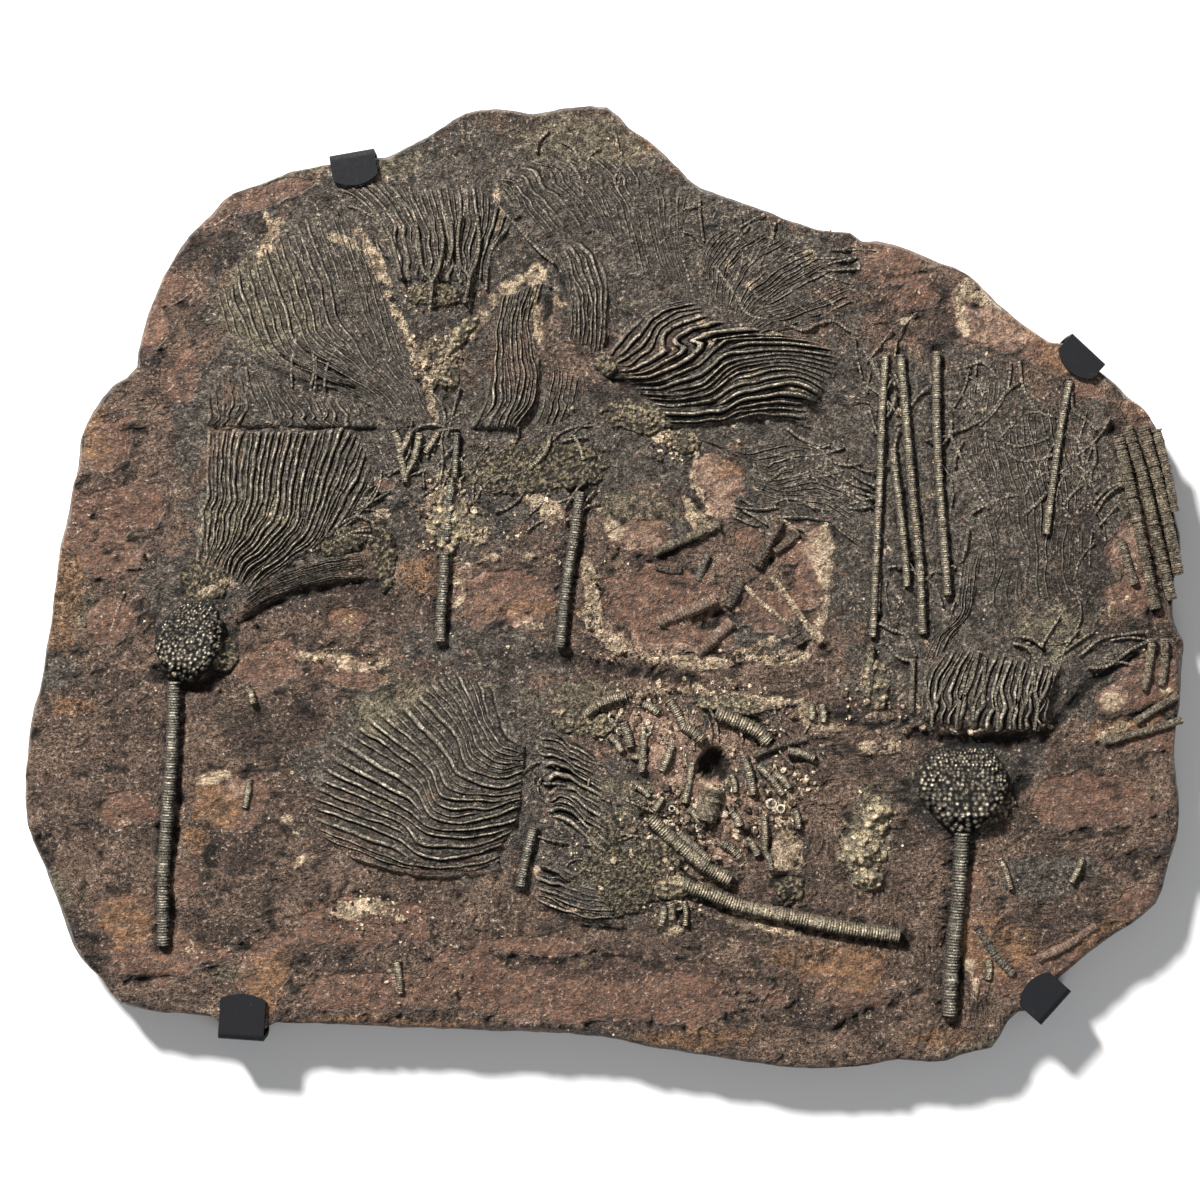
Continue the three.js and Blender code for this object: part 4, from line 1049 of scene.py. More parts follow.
def steel_material():
    """Black paint with a little dust and wear."""
    nodes = Nodes("black painted steel")
    brushed = nodes.noise(3.0, 4.0, 0.7)
    dust = nodes.step(0.56, 0.72, nodes.noise(14, 5.0, 0.7))
    worn = nodes.step(0.66, 0.74, nodes.noise(7, 5.0, 0.75))
    colour = nodes.mix(nodes.math("MULTIPLY", dust, 0.25), (0.0085, 0.009, 0.0115), (0.05, 0.047, 0.045))
    colour = nodes.mix(nodes.math("MULTIPLY", worn, 0.4), colour, (0.10, 0.10, 0.10))
    height = nodes.math("MULTIPLY", nodes.noise(1.4, 3.0, 0.6), 0.10)
    return nodes.finish(colour, height, **{
        "Roughness": nodes.step(-1.2, 2.2, nodes.math("MULTIPLY", brushed, 2.0)),
        "Specular IOR Level": 0.2,
    })


def floor_material():
    nodes = Nodes("pale floor")
    soft = nodes.ramp(nodes.noise(900, 2.0), (0.3, (0.86, 0.86, 0.86)), (0.7, (0.90, 0.90, 0.90)))
    return nodes.finish(soft, nodes.math("MULTIPLY", nodes.noise(40), 0.01), Roughness=0.9)


ROCK = rock_material()
STEM = stem_material()
BEADS = bead_material()
RUBBLE_STONE = rubble_material()
CHIPS = chip_material()
STEEL = steel_material()


# ------------------------------------------------------------------ crowns

COVER = np.full(GROUND.shape, FAR)  # lowest top of the crowns and cups over each cell of the ground


def arm_section(share):
    """Places across one arm's strip, 0 to 1, and their heights: a thin ridge between two grooves."""
    middle = 0.45
    places = middle + share * np.array([-1.35, -0.9, -0.5, 0.0, 0.5, 0.9, 1.4, 1.85])
    return np.append(0, places), np.array([0.0, -0.05, -0.35, 0.8, 1.0, 0.6, -0.7, -0.6, -0.05])


def across_guides(guides, s):
    """Points between the guides. s is 0 on the first guide and len - 1 on the last."""
    last = len(guides) - 1
    i = np.clip(np.floor(s).astype(int), 0, last - 1)
    row = np.arange(guides.shape[1])[None, :]
    t = (s - i)[..., None]
    before = guides[np.maximum(i - 1, 0), row]
    after = guides[np.minimum(i + 2, last), row]
    return blend_four(before, guides[i, row], guides[i + 1, row], after, t)


def arm_widths(arms, rows, random):
    """Width of each arm's strip along its length. Every other arm buds from its neighbour."""
    t = np.linspace(0, 1, rows)[None, :]
    k = np.arange(arms)[:, None]
    start = np.where(k % 2 == 1, random.uniform(-0.1, 0.45, (arms, 1)), -1)
    growth = smooth_step(start - 0.02, start + 0.13, t + 0 * k)
    widths = random.uniform(0.5, 1.5, (arms, 1)) * (0.1 + 0.9 * growth)
    return widths, growth


def border_distance(points, fade, length):
    """Distance from the sheet's border, in fade distances: base, tips, first and last side."""
    across = np.linalg.norm(np.diff(points, axis=0), axis=2)
    from_first = np.concatenate([np.zeros((1, points.shape[1])), np.cumsum(across, axis=0)])
    from_last = from_first[-1:] - from_first
    along = np.linspace(0, length, points.shape[1])[None, :]
    base, tip, first, last = fade
    return np.minimum(
        np.minimum(along / base, (length - along) / tip),
        np.minimum(from_first / first, from_last / last),
    )


def arm_strips(lines, places, arms, length, seed, random):
    """Lines along the arms, 0 to 1 across the sheet, with their arm, their run and its growth."""
    rows = lines.shape[1]
    widths, growth = arm_widths(arms, rows, random)
    edges = np.concatenate([np.zeros((1, rows)), np.cumsum(widths, axis=0)]) / widths.sum(axis=0)
    strips = np.stack([edges[:-1] + u * np.diff(edges, axis=0) for u in places], axis=1).reshape(-1, rows)
    strips = np.vstack([strips, edges[-1:]])
    arm = np.minimum(np.arange(len(strips)) // len(places), arms - 1)
    run = np.linspace(0, length, rows)[None, :]
    total = np.linalg.norm(np.diff(lines, axis=0), axis=2).sum(axis=0)[None, :]
    sway = 2.1 * noise(arm[:, None] * 0.83 + 0 * run, run / 17, seed)
    sway = sway + 0.5 * noise(arm[:, None] * 3.7 + 0 * run, run / 5, seed + 40)
    strips = np.clip(strips + sway / total * smooth_step(0, 0.06, strips * (1 - strips)), 0, 1)
    return strips, arm, run, growth


def crown(name, guides, arms, relief, lift, fade, share, seed, buried=0.4):
    """A sheet of arms that follow the guides, closed underneath inside the rock."""
    random = np.random.default_rng(seed)
    length = float(np.mean([line_length(guide) for guide in guides]))
    rows = max(8, round(length / ROW_STEP))
    lines = np.stack([spline(guide, rows) for guide in guides])
    places, section = arm_section(share)
    strips, arm, run, growth = arm_strips(lines, places, arms, length, seed, random)
    flat = across_guides(lines, strips * (len(guides) - 1))
    x = flat[..., 0]
    y = flat[..., 1]

    profile = np.append(np.tile(section, arms), 0.0)[:, None]
    pitch = np.linalg.norm(np.diff(flat[:: len(places)], axis=0), axis=2)[arm]
    strength = random.uniform(0.45, 1.15, arms)[arm][:, None]
    strength = strength * (1 + 0.7 * noise(arm[:, None] * 1.7 + 0 * run, run / 9, 9))
    shown = smooth_step(-0.42, 0.02, layered(x, y, 46, seed + 60, 2) + 0.3 * strength - 0.3)
    near = border_distance(flat, fade, length)
    ragged = 1 + 0.6 * noise(x / 9, y / 9, seed)
    inside = smooth_step(0, 1, near * ragged)
    height = np.minimum(relief * strength, 0.9 * share * 2 * pitch) * (0.3 + 0.7 * growth[arm])
    height = height * (1 - buried * (1 - shown)) * smooth_step(0.1, 1.4, near * ragged)
    rough = 0.7 * layered(x, y, 24, 61, 2) + 0.45 * layered(x, y, 6, 21, 2)
    fold = groove_depth(x, y)
    z = bed_height(x, y) + lift + height * profile + rough - fold
    z = z * inside + (bed_height(x, y) - 2.5) * (1 - inside)

    turn = np.cross(flat[1, 0] - flat[0, 0], flat[0, 1] - flat[0, 0])
    closed, faces, rim = closed_sheet(x, y, z, flip=bool(turn < 0))
    ridge = profile * height / relief
    across = np.append((np.arange(arms)[:, None] + places).reshape(-1), arms)[:, None]
    # ridge paints a highlight along the arms' crests, in the rock's material.
    grids = dict(
        ridge=np.clip(ridge, 0, 1) * min(1.2, 0.2 + 0.28 * relief),
        along=run,
        across=across,
        arms=inside,
    )
    grids = {key: with_skirt(np.broadcast_to(grid, x.shape), rim) for key, grid in grids.items()}
    # hollow paints shade into the grooves, stem beds and pits under the crown, away from the crests.
    hollow = with_skirt(np.clip(fold / 5 - ridge * 3, 0, 1), rim)
    shell = Shell()
    shell.add(closed, faces, **grids, **rock_values(closed[:, 0], closed[:, 1], hollow))
    cover_ground(x, y, z, inside)
    shell.piece(name, ROCK, "fossil_rock")


def cover_ground(x, y, z, inside):
    """Notes how low a crown or cup comes down over the ground, away from its faded border."""
    chosen = inside > 0.85
    i = np.round((x[chosen] - GROUND_X[0]) / GROUND_STEP).astype(int)
    j = np.round((y[chosen] - GROUND_Y[0]) / GROUND_STEP).astype(int)
    np.minimum.at(COVER, (i, j), z[chosen])


# ------------------------------------------------------------------ the slab


def groove_depth(x, y):
    """How far grooves, stem beds and pits sink the face."""
    depth = 0
    for width, deep, line in GROOVES:
        near = line_distance(x, y, line) + 1.6 * noise(x / 9, y / 9, 31)
        depth = np.maximum(depth, deep * (1 - smooth_step(width * 0.15, width * 0.75, near)))
    for diameter, _, line in STEMS:
        near = line_distance(x, y, line)
        depth = np.maximum(depth, 0.28 * diameter * (1 - smooth_step(diameter * 0.6, diameter * 1.2, near)))
    for px, py, radius, deep in PITS:
        near = np.hypot(x - px, y - py) * (1 + 0.35 * noise(x / 12, y / 12, 41))
        depth = np.maximum(depth, deep * (1 - smooth_step(radius * 0.7, radius, near)))
    return depth


def ledges(x, y):
    """Broken bedding: shallow slopes that end in small steps."""
    level = 6 * layered(x / 1.9, y, 62, 51, 3, 0.5)
    part = level - np.floor(level)
    return 1.5 * (np.floor(level) + smooth_step(0.40, 0.56, part) - level)


def face_height(x, y):
    """Height of the visible rock face."""
    plain = 1 - zone_weight(ZONES["grey"], x, y) * 0.6
    relief = 3.0 * layered(x, y, 26, 61, 3) + 1.9 * ledges(x, y) * plain
    relief = relief + 0.9 * layered(x, y, 8, 71, 2)
    crust = 2.0 * smooth_step(0.4, 0.62, zone_amount("pink", x, y))
    crust = crust + 1.6 * smooth_step(0.4, 0.6, zone_amount("cream", x, y))
    relief = relief * (1 - 0.35 * smooth_step(0.4, 0.7, zone_amount("pink", x, y))) + crust - 0.8
    height = bed_height(x, y) - 0.4 + (relief - groove_depth(x, y)) * clear_of_clips(x, y)
    return np.minimum(height, look_up(COVERED, x, y) - 1.2)


def zone_amount(name, x, y):
    """How far a place is inside a colour patch, with a ragged edge. The edge is at about 0.5."""
    weight = zone_weight(ZONES[name], x, y)
    if name == "cream":
        for width, line in PALE_SEAMS:
            near = (line_distance(x, y, line) + 5 * noise(x / 9, y / 9, 91)) / (0.72 * width)
            weight = np.maximum(weight, 0.9 * (1 - smooth_step(0, 1.2, near)))
    return weight + 0.62 * layered(x, y, 34, 200 + 7 * len(name), 4, 0.68)


def zone_weight(blobs, x, y):
    """1 in the middle of a patch and 0 well outside it."""
    weight = np.zeros(np.shape(x))
    for px, py, rx, ry, turn in blobs:
        angle = math.radians(turn)
        dx = x - px
        dy = y - py
        along = (dx * math.cos(angle) + dy * math.sin(angle)) / rx
        across = (dy * math.cos(angle) - dx * math.sin(angle)) / ry
        weight = np.maximum(weight, 1 - smooth_step(0.45, 1.35, np.hypot(along, across)))
    return weight


def disc_grid():
    """An even grid over a disc of radius 1: a square grid bent so that its edge is the circle."""
    line = np.linspace(-1, 1, FACE_CELLS + 1)
    u, v = np.meshgrid(line, line, indexing="ij")
    wide = np.abs(u) > np.abs(v)
    with np.errstate(divide="ignore", invalid="ignore"):
        angle = np.where(wide, math.pi / 4 * v / u, math.pi / 2 - math.pi / 4 * u / v)
    angle = np.nan_to_num(angle)
    radius = np.where(wide, u, v)
    return radius * np.cos(angle), radius * np.sin(angle)


def side_radii(angles, level):
    """Distance from the middle to the frame's side at a height, for each angle."""
    radii = []
    for angle in angles:
        way = Vector((math.cos(angle), math.sin(angle), 0))
        hit = SLAB_TREE.ray_cast(way + Vector((0, 0, level * MM)), -way)[0]
        radii.append(math.hypot(hit.x, hit.y) / MM)
    return np.array(radii)


def blurred(grid, passes):
    """Each cell becomes the mean of its four neighbours, passes times."""
    for _ in range(passes):
        padded = np.pad(grid, 1, mode="edge")
        grid = (padded[:-2, 1:-1] + padded[2:, 1:-1] + padded[1:-1, :-2] + padded[1:-1, 2:]) / 4
    return grid


def rock_values(x, y, hollow):
    """What the rock's material reads at each point: the colour patches and the hollows, where it paints
    shade.
    """
    values = {name: zone_amount(name, x, y) for name in ZONES}
    values["hollow"] = hollow
    return values


def rim_radii(angles):
    """Distance to the face's rim for each angle, with small nicks away from the clips."""
    radii = side_radii(angles, RIM_LEVEL)
    nicks = np.clip(0.7 + 2.2 * layered(angles * SIDE_RADIUS, 0 * angles, 30, 83, 3), 0, 2.6)
    return radii - nicks * clear_of_clips(radii * np.cos(angles), radii * np.sin(angles))


def side_rows(angles):
    """Rings of points down the slab's broken side, to its back."""
    rows = []
    run = angles * SIDE_RADIUS
    number = np.arange(len(angles))
    for level in [*np.linspace(RIM_LEVEL - 2.5, SLAB_BACK + 2, 10), SLAB_BACK]:
        bite = 1.3 + 1.5 * layered(run, level + 0 * run, 34, 81, 3)
        bite = bite + 0.8 * noise(run / 60, level / 7 + 0 * run, 85)
        radii = side_radii(angles, min(level + 0.02, RIM_LEVEL)) - np.clip(bite, 0.1, 3.5)
        height = level + 0.6 * noise(number / 9, level + 0 * run, 87) * (level != SLAB_BACK)
        rows.append(np.stack([radii * np.cos(angles), radii * np.sin(angles), height], axis=1))
    return rows


def close_back(points, above):
    """Adds rings to the back that halve their corners towards its middle, and gives their faces."""
    faces = []
    while len(above) > BACK_CORNERS:
        kept = above[::2]
        base = sum(map(len, points))
        ring = list(range(base, base + len(kept)))
        points.append(np.vstack(points)[kept] * (BACK_SHRINK, BACK_SHRINK, 1))
        for k, middle in enumerate(above[1::2]):
            after = (k + 1) % len(ring)
            end = above[(2 * k + 2) % len(above)]
            faces.append((above[2 * k], ring[k], middle))
            faces.append((middle, ring[k], ring[after]))
            faces.append((middle, ring[after], end))
        above = ring
    faces.append(tuple(above[::-1]))
    return faces


def slab_values(points, face_count, hollow):
    """The face's colour patches, and the same ones broken up by noise on the sides and back."""
    values = rock_values(points[:face_count, 0], points[:face_count, 1], hollow)
    side = points[face_count:]
    run = np.arctan2(side[:, 1], side[:, 0]) * SIDE_RADIUS
    # The sides and back get a light, even painted shade through hollow.
    side_values = rock_values(side[:, 0], side[:, 1], np.full(len(side), 0.15))
    for number, name in enumerate(ZONES):
        side_values[name] += layered(run, 3 * side[:, 2], 60, 120 + number) - 0.15
    return {name: np.concatenate([value, side_values[name]]) for name, value in values.items()}


def slab_piece():
    """Face, broken sides and sawn back in one closed mesh."""
    cells = FACE_CELLS + 1
    disc_x, disc_y = disc_grid()
    rim = grid_rim(cells, cells)
    angles = np.arctan2(disc_y, disc_x)
    rim_angles = angles.reshape(-1)[rim]
    order = np.argsort(rim_angles)
    around = np.interp(angles, rim_angles[order], rim_radii(rim_angles)[order], period=2 * math.pi)
    x = disc_x * around
    y = disc_y * around
    z = face_height(x, y)
    # hollow paints shade where the face dips below its surroundings: grooves, pits and the feet of steps.
    hollow = np.clip((blurred(z, 10) - z) / 2.2, 0, 1)

    points = [np.stack([x, y, z], axis=2).reshape(-1, 3)]
    faces = grid_faces(cells, cells)
    above = rim
    for row in side_rows(rim_angles):
        base = sum(map(len, points))
        ring = list(range(base, base + len(row)))
        points.append(row)
        faces += band(above, ring)
        above = ring
    faces += close_back(points, above)

    shell = Shell()
    everything = np.vstack(points)
    shell.add(everything, faces, **slab_values(everything, x.size, hollow.reshape(-1)))
    shell.piece("slab_rock", ROCK, "fossil_rock")


# ------------------------------------------------------------------ stems and broken bits


def stem_rings(x, y, z, widths, shift, turn):
    """Rings of points round a stem's middle line, with the hollow in each of its cut ends."""
    way = np.gradient(np.stack([x, y], axis=1), axis=0)
    way = way / np.linalg.norm(way, axis=1, keepdims=True)
    side = np.stack([-way[:, 1], way[:, 0]], axis=1)
    out = np.cos(turn)[None, :] * widths[:, None] + shift[:, None]
    up = np.sin(turn)[None, :] * widths[:, None]
    points = np.stack([
        x[:, None] + side[:, :1] * out,
        y[:, None] + side[:, 1:] * out,
        z[:, None] + up,
    ], axis=2)
    ends = []
    for end, tip in ((0, -1), (-1, 1)):
        centre = np.array([x[end], y[end], z[end]])
        outward = np.array([way[end, 0], way[end, 1], 0]) * tip
        for share, push in ((0.62, 0.3), (0.28, 0.2), (0.2, -1.2)):
            ends.append(centre + (points[end] - centre) * share + outward * push)
    return np.concatenate([np.stack(ends[:3][::-1]), points, np.stack(ends[3:])])


def stem(shell, line, diameter, random, sides=12, pitch=1.9, sink=0.15, worn=0.0, pale=0.0, rocky=False,
         zone=None, rise=0.0):
    """A stem of thin discs lying in the face, with a hollow at each cut end."""
    radius = diameter / 2
    length = line_length(line)
    discs = max(2, round(length / pitch))
    offsets = np.array([0.0, 0.28, 0.74])
    stations = (np.arange(discs)[:, None] + offsets).reshape(-1) / discs
    path = spline(line, 4 * discs + 1)
    at = np.linspace(0, 1, len(path))
    x = np.interp(stations, at, path[:, 0])
    y = np.interp(stations, at, path[:, 1])
    z = bed_height(x, y)
    z = blurred(z[:, None], 4)[:, 0] + radius * sink + rise
    disc = np.repeat(np.arange(discs), 3)
    size = 1 + 0.05 * random.standard_normal(discs)[disc] + np.where(disc % 5 == 0, 0.05, 0)
    smooth = smooth_step(0.1, 0.4, noise(disc / 9.0, 0 * disc + radius, 5) + worn)
    dip = np.tile([0.15, 0, 0], discs) * (1 - 0.75 * smooth)
    widths = radius * np.clip(size - dip, 0.7, 1.12)
    shift = 0.03 * radius * random.standard_normal(discs)[disc]

    turn = np.linspace(0, 2 * np.pi, sides, endpoint=False)
    rings = stem_rings(x, y, z, widths, shift, turn)
    count = len(rings)
    crest = np.tile([0.0, 1.0, 0.9], discs) * (0.7 + 0.3 * random.random(discs)[disc])
    crest = np.maximum(crest, 0.55 * smooth)
    crest = np.concatenate([[0.0, 0.3, 0.5], crest, [0.5, 0.3, 0.0]])
    tint = np.clip(pale + 0.25 * random.random(discs)[disc] - 0.1, 0, 1)
    tint = np.concatenate([[0, 0.2, 0.3], tint, [0.3, 0.2, 0]])
    rings = rings.reshape(-1, 3)
    # Painted highlight: each stem is lighter along its top and darker down its sides.
    painted_top_light = np.tile(0.25 + 0.75 * np.clip(np.sin(turn), 0, 1) ** 2, count)
    values = dict(ridge=np.repeat(crest, sides) * painted_top_light, pale=np.repeat(tint, sides))
    if rocky or zone:
        # On rocky stems, ridge paints a highlight on the disc crests and hollow paints shade between them.
        values = rock_values(rings[:, 0], rings[:, 1], np.repeat(0.4 - 0.4 * crest, sides))
        values["ridge"] = np.repeat((0.2 if zone else 0.6) * crest, sides)
    if zone:
        values.update({name: np.full(len(rings), -1.0) for name in ZONES})
        values[zone] = np.full(len(rings), 1.2)
    shell.add(rings, tube_faces(count, sides), **values)


def chip(shell, place, size, pale, random):
    """A broken grain: an uneven six-sided lump half sunk in the face."""
    corners = np.array([(1, 0, 0), (0.5, 0.9, 0.1), (-0.6, 0.8, 0), (-1, 0, 0.1), (-0.5, -0.9, 0),
                        (0.6, -0.8, 0.1)], float)
    top = corners * 0.55 + (0, 0, 0.7)
    low = corners - (0, 0, 0.7)
    points = np.vstack([low, top]) * random.uniform(0.7, 1.3, (12, 3))
    turn = random.uniform(0, 2 * math.pi)
    px = points[:, 0] * size
    py = points[:, 1] * size * random.uniform(0.5, 1.0)
    x, y, height = place
    placed = np.stack([
        x + px * math.cos(turn) - py * math.sin(turn),
        y + px * math.sin(turn) + py * math.cos(turn),
        height + points[:, 2] * size * 0.55,
    ], axis=1)
    shell.add(placed, tube_faces(2, len(corners), flip=True), pale=pale)


def ossicle(shell, x, y, radius, random):
    """A loose stem disc lying flat, with its hole."""
    sides = 16
    turn = np.linspace(0, 2 * np.pi, sides, endpoint=False)
    height = float(face_height(np.array([x]), np.array([y]))[0])
    tilt = random.uniform(-0.25, 0.25, 2)
    rings = []
    for share, up in ((1.0, -1.5), (1.0, 1.2), (0.86, 1.8), (0.55, 1.7), (0.42, 1.2), (0.40, -0.4)):
        px = radius * share * np.cos(turn)
        py = radius * share * np.sin(turn)
        rings.append(np.stack([x + px, y + py, height + up + tilt[0] * px + tilt[1] * py], axis=1))
    # Painted highlight on the disc's raised rim, and painted shade down in its hole.
    ridge = np.repeat([0.2, 0.8, 1.0, 0.6, 0.2, 0.0], sides)
    shell.add(np.vstack(rings), tube_faces(len(rings), sides, flip=True), ridge=ridge, pale=0.35)


def stem_tint(mesh_name, line):
    """How pale a stem is: the ones in the heap are the palest."""
    if mesh_name == "stems_right" and line[0][0] < 200:
        return 0.85
    return 0.5 if mesh_name == "stems_thin" else 0


def make_stems():
    shells = {}
    random = np.random.default_rng(101)
    for diameter, mesh_name, line in STEMS:
        shell = shells.setdefault(mesh_name, Shell())
        zone = "olive" if mesh_name == "stems_edge" else None
        pale = stem_tint(mesh_name, line)
        stem(shell, line, diameter, random, pitch=1.2 + 0.1 * diameter, zone=zone, pale=pale, worn=0.2 * pale)
    broken = shells.setdefault("stems_broken", Shell())
    for diameter, start, end in BROKEN_STEMS:
        middle = ((start[0] + end[0]) / 2 + 1, (start[1] + end[1]) / 2 + 1)
        stem(broken, [start, middle, end], diameter, random, sides=10, pale=0.7, sink=0.3, worn=0.15)
    strands = Shell()
    for line in STRANDS:
        stem(strands, line, 3.0, random, sides=6, pitch=3.0, sink=0.3, rocky=True)
    for line in FORKS:
        stem(broken, line, 3.4, random, sides=6, pitch=2.6, sink=0.2, pale=0.3, worn=0.4, rise=4.2)
    for zone, diameter, line in CASTS:
        worn = 1.0 if diameter > 15 else 0.2
        stem(strands, line, diameter, random, sides=12, pitch=2.8, sink=-0.1, zone=zone, worn=worn)
    strands.piece("arms_and_casts", ROCK, "fossil_rock")
    for x, y, radius in LOOSE_DISCS:
        ossicle(broken, x, y, radius, random)
    for name, shell in shells.items():
        shell.piece(name, ROCK if name == "stems_edge" else STEM, "fossil_rock")


# Areas with loose arms: middle, half sizes, how many and the main direction in degrees.
LOOSE_ARMS = [
    (340, 120, 60, 70, 24, 65), (280, -10, 40, 40, 8, 100), (420, 60, 26, 80, 16, 80),
    (160, 290, 60, 40, 26, 20), (110, 280, 40, 40, 12, 90), (-60, 90, 60, 44, 22, 50),
    (-160, 100, 40, 40, 20, 60), (160, 90, 70, 40, 36, -20), (20, 330, 50, 40, 8, 70),
    (10, -190, 60, 60, 20, 160), (250, 160, 24, 60, 16, 90), (-230, 60, 26, 26, 14, 40),
    (-300, 165, 60, 24, 5, 80), (120, -150, 70, 60, 16, 120), (420, -60, 50, 20, 7, 25),
    (-250, 320, 60, 26, 14, -55),
]

# Areas with stone chips: middle, half sizes, how many and the size of a chip.
RUBBLE = [
    (0, 0, 500, 400, 1300, 1.5), (110, -160, 90, 75, 420, 2.4), (-140, 60, 34, 40, 160, 2.6),
    (60, -270, 30, 30, 90, 2.8), (235, -215, 32, 46, 50, 1.6), (245, -110, 34, 40, 90, 2.4),
    (60, -92, 80, 8, 120, 2.0), (-60, 80, 60, 50, 130, 1.9), (-210, -285, 50, 20, 90, 2.0),
    (-230, -66, 36, 12, 60, 1.8), (20, -235, 50, 50, 240, 2.2), (80, -62, 100, 6, 110, 1.8),
    (-8, -20, 6, 36, 50, 1.8), (340, -124, 60, 5, 90, 2.6), (-155, 255, 34, 14, 130, 1.8),
    (60, -205, 30, 24, 170, 3.0), (25, -120, 44, 22, 190, 2.8), (160, -185, 26, 30, 150, 2.6),
    (100, -215, 40, 30, 120, 3.2), (-150, 200, 26, 30, 130, 2.2), (-170, -330, 60, 40, 90, 1.8),
    (60, 125, 20, 16, 50, 2.2),
]


def scatter_place(random, x, y, rx, ry):
    """An evenly random place in an ellipse."""
    angle = random.uniform(0, 2 * math.pi)
    reach = math.sqrt(random.random())
    return x + rx * reach * math.cos(angle), y + ry * reach * math.sin(angle)


def on_slab(x, y):
    """True well inside the slab's outline and off the clips."""
    hit = SLAB_TREE.ray_cast(Vector((x * MM, y * MM, ABOVE_ALL)), Vector((0, 0, -1)))[0]
    inside = hit is not None and hit.z / MM > RIM_HEIGHT - 3
    return inside and float(clear_of_clips(np.array(x), np.array(y))) > 0.9


def off_pits(place):
    """True where no pit is."""
    return all(math.dist(place, pit[:2]) > pit[2] + 2 for pit in PITS)


def make_loose_arms():
    random = np.random.default_rng(202)
    shell = Shell()
    for cx, cy, rx, ry, count, direction in LOOSE_ARMS:
        for _ in range(count):
            x, y = scatter_place(random, cx, cy, rx, ry)
            angle = math.radians(direction + random.normal(0, 24))
            bend = random.normal(0, 0.28)
            step = random.uniform(7, 16)
            line = [(x, y)]
            for _ in range(3):
                x += step * math.cos(angle)
                y += step * math.sin(angle)
                angle += bend
                line.append((x, y))
            if all(on_slab(*point) and off_pits(point) for point in line):
                stem(shell, line, random.uniform(1.5, 2.6), random, sides=5, pitch=4.5, sink=0.2, rocky=True)
    shell.piece("loose_arms", ROCK, "fossil_rock")


def make_rubble():
    random = np.random.default_rng(303)
    shell = Shell()
    for cx, cy, rx, ry, count, size in RUBBLE:
        places = np.array([scatter_place(random, cx, cy, rx, ry) for _ in range(count)])
        places = np.array([place for place in places if on_slab(*place) and off_pits(place)])
        heights = face_height(places[:, 0], places[:, 1])
        for (x, y), height in zip(places, heights):
            chip(shell, (x, y, height), size * random.lognormal(-0.25, 0.4), random.random() ** 1.4, random)
    shell.piece("stone_chips", CHIPS, "fossil_rock", smooth=False)


# ------------------------------------------------------------------ cups


def bead_centres(top, bottom, half_width, first_size, last_size, jitter, random):
    """Middles and sizes of plates in rows from the cup's top to its bottom."""
    centres = []
    y = top
    row = 0
    while y > bottom:
        share = (top - y) / (top - bottom)
        size = first_size + (last_size - first_size) * share
        reach = np.interp(share, np.linspace(0, 1, len(half_width)), half_width) + size
        for x in np.arange(-reach + (row % 2) * size / 2, reach, size):
            shake = random.normal(0, jitter * size, 2)
            centres.append((x + shake[0], y + shake[1], size * random.uniform(0.82, 1.12)))
        y -= size * 0.87
        row += 1
    return np.array(centres)


def cup(name, middle_x, top, bottom, half_width, sizes, jitter, bulge, lean, seed):
    """A dome of bead-like plates. half_width is read from the top of the cup to its bottom."""
    random = np.random.default_rng(seed)
    beads = bead_centres(top, bottom, half_width, *sizes, jitter, random)
    columns = round(2 * max(half_width) / CUP_STEP)
    rows = round((top - bottom) / CUP_STEP)
    a, b = np.meshgrid(np.linspace(-1, 1, columns), np.linspace(0, 1, rows), indexing="ij")
    half = np.interp(b, np.linspace(0, 1, len(half_width)), half_width)
    local_x = a * half
    y = top + (bottom - top) * b
    x = middle_x + local_x + lean * (top - y)
    near = np.full(x.shape, FAR)
    size = np.ones(x.shape)
    glow = np.ones(x.shape)
    for bx, by, width in beads:
        gap = np.hypot(local_x - bx, y - by) / width
        size = np.where(gap < near, width, size)
        glow = np.where(gap < near, random.uniform(0.6, 1.0), glow)
        near = np.minimum(near, gap)
    bead = np.sqrt(np.clip(1 - (near / 0.60) ** 2, 0, 1))
    border = np.minimum((1 - np.abs(a)) * half, np.minimum(top - y, y - bottom))
    inside = smooth_step(0, 6, border * (1 + 0.8 * noise(x / 7, y / 7, seed)))
    dome = bulge * np.sqrt(np.clip(1 - a**2 * 0.95, 0, 1))
    dome = dome * smooth_step(0, 0.35, 1 - b) * smooth_step(0, 0.4, b + 0.1)
    bed = bed_height(x, y)
    z = (bed + 0.5 + dome + 0.7 * size * bead) * inside + (bed - 2.5) * (1 - inside)
    closed, faces, rim = closed_sheet(x, y, z, flip=True)
    shell = Shell()
    # ridge paints a highlight on each plate's top and shade, near black, in the gaps; glow sets each plate's
    # share of it.
    shell.add(closed, faces, ridge=with_skirt(bead**2 * glow * inside, rim))
    cover_ground(x, y, z, inside)
    shell.piece(name, BEADS, "fossil_rock")


def heap_grains(u, v, rx, ry, size, random):
    """Heights of grains strewn over a patch, and how far up each grain a place is."""
    count = round(7.5 * rx * ry / size**2)
    px = random.uniform(-1.2, 1.2, count) * rx
    py = random.uniform(-1.2, 1.2, count) * ry
    width = size * random.uniform(0.6, 1.35, count)
    level = random.uniform(0.3, 1.0, count)
    top = np.zeros(u.shape)
    bump = np.zeros(u.shape)
    for k in range(count):
        lie = random.uniform(0, math.pi)
        du = u - px[k]
        dv = v - py[k]
        long_way = du * math.cos(lie) + dv * math.sin(lie)
        short_way = dv * math.cos(lie) - du * math.sin(lie)
        near = np.hypot(long_way, 1.5 * short_way) / width[k]
        swell = 1 - smooth_step(0.30, 0.76, near)
        height = level[k] * 0.5 * width[k] * swell
        bump = np.where(height > top, swell * (0.5 + 0.5 * level[k]), bump)
        top = np.maximum(top, height)
    return top, bump


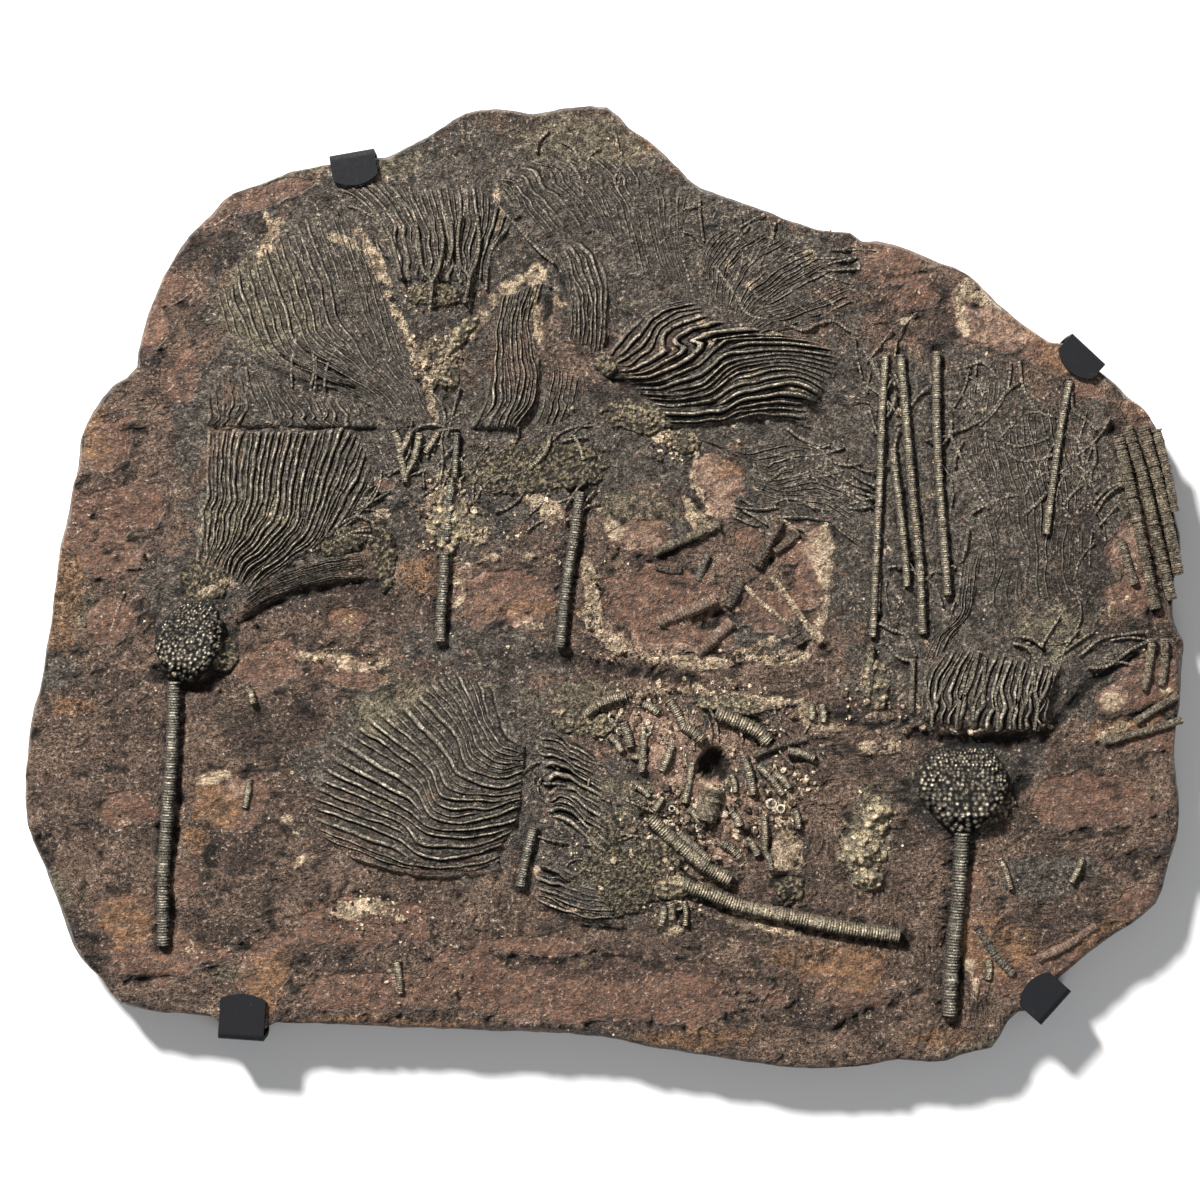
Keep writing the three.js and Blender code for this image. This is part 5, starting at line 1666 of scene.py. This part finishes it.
def make_grainy_patches():
    """Low mounds of rounded grains in the rock."""
    random = np.random.default_rng(404)
    shell = Shell()
    for cx, cy, rx, ry, turn, size, bulge, pale in GRAINY:
        step = max(1.0, size / 4)
        angle = math.radians(turn)
        columns = round(2.4 * rx / step)
        rows = round(2.4 * ry / step)
        a, b = np.meshgrid(np.linspace(-1.2, 1.2, columns), np.linspace(-1.2, 1.2, rows), indexing="ij")
        x = cx + a * rx * math.cos(angle) - b * ry * math.sin(angle)
        y = cy + a * rx * math.sin(angle) + b * ry * math.cos(angle)
        top, bump = heap_grains(a * rx, b * ry, rx, ry, size, random)
        reach = np.hypot(a, b) + 0.28 * noise(x / 9, y / 9, 51) + 0.14 * noise(x / 3, y / 3, 52)
        inside = (1 - smooth_step(0.8, 1.02, reach)) * (np.maximum(np.abs(a), np.abs(b)) < 1.19)
        bed = bed_height(x, y)
        z = (bed + 0.2 + bulge * (1 - smooth_step(0, 1, reach)) + top) * inside + (bed - 3) * (1 - inside)
        closed, faces, rim = closed_sheet(x, y, z)
        # ridge paints each grain's top lighter and its foot darker: painted highlight and shade.
        ridge = with_skirt(np.maximum(bump, 0.45 * pale) * inside, rim)
        tint = np.clip(pale + 0.25 * noise(closed[:, 0] / 8, closed[:, 1] / 8, 53), 0, 1)
        shell.add(closed, faces, ridge=ridge, tint=tint)
    shell.piece("grainy_patches", RUBBLE_STONE, "fossil_rock")


# ------------------------------------------------------------------ clips


def clip_piece(name):
    """The clip with its edges rounded over."""
    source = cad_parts[name]
    mesh = source.data.copy()
    mesh.materials.clear()
    mesh.materials.append(STEEL)
    made = bpy.data.objects.new(name + "_steel", mesh)
    bpy.context.scene.collection.objects.link(made)
    flat = made.modifiers.new("flat faces", "DECIMATE")
    flat.decimate_type = "DISSOLVE"
    flat.angle_limit = math.radians(2)
    bevel = made.modifiers.new("rounded edges", "BEVEL")
    bevel.width = 0.7 * MM
    bevel.segments = 3
    bevel.limit_method = "ANGLE"
    bevel.angle_limit = math.radians(40)
    bevel.harden_normals = True
    mesh.polygons.foreach_set("use_smooth", [True] * len(mesh.polygons))
    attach(made, "root")
    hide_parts(name)


# ------------------------------------------------------------------ stage


def add_light(name, place, size, power, colour):
    light = bpy.data.lights.new(name, "AREA")
    light.shape = "DISK"
    light.size = size
    light.energy = power
    light.color = colour
    made = bpy.data.objects.new(name, light)
    made.location = place
    made.rotation_euler = (-Vector(place)).to_track_quat("-Z", "Y").to_euler()
    bpy.context.scene.collection.objects.link(made)


def make_stage():
    bpy.ops.mesh.primitive_plane_add(size=FLOOR_SIZE)
    floor = bpy.context.object
    floor.name = "floor"
    floor.data.materials.append(floor_material())
    add_light("key", (-3.0, 4.6, 4.0), 1.0, 1290, (1, 0.98, 0.95))
    add_light("fill", (0.8, -1.8, 3.0), 2.5, 25, (0.95, 0.97, 1))
    world = bpy.data.worlds.new("studio")
    world.use_nodes = True
    world.node_tree.nodes["Background"].inputs["Color"].default_value = (1, 1, 1, 1)
    world.node_tree.nodes["Background"].inputs["Strength"].default_value = 0.2
    bpy.context.scene.world = world
    bpy.context.scene.view_settings.view_transform = "Standard"


def make_camera():
    """Straight above the slab, with its domed edge up."""
    low, high = CAD_BOX
    camera = bpy.data.cameras.new("camera")
    camera.sensor_width = 36
    field = (high.x - low.x) * CAMERA_MARGIN
    camera.lens = camera.sensor_width * CAMERA_DISTANCE / field
    made = bpy.data.objects.new("camera", camera)
    made.location = (*CAMERA_PLACE, high.z + CAMERA_DISTANCE)
    bpy.context.scene.collection.objects.link(made)
    bpy.context.scene.camera = made


# ------------------------------------------------------------------ the object

SLAB_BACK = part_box("slab")[0].z / MM

make_camera()
make_stage()
for crown_facts in CROWNS:
    crown(**crown_facts)
cup("cup_left", -359, -10, -87, (12, 22, 29, 33, 33, 29, 20, 9), (2.3, 4.6), 0.26, 3.0, -0.18, 7)
cup("cup_right", 318, -139, -221, (26, 33, 39, 43, 43, 40, 32, 21, 8), (2.6, 7.0), 0.17, 4.0, 0.0, 8)
COVERED = np.where(COVER < FAR, COVER, UNCOVERED)
slab_piece()
make_grainy_patches()
make_stems()
make_loose_arms()
make_rubble()
for clip_name in CLIPS:
    clip_piece(clip_name)
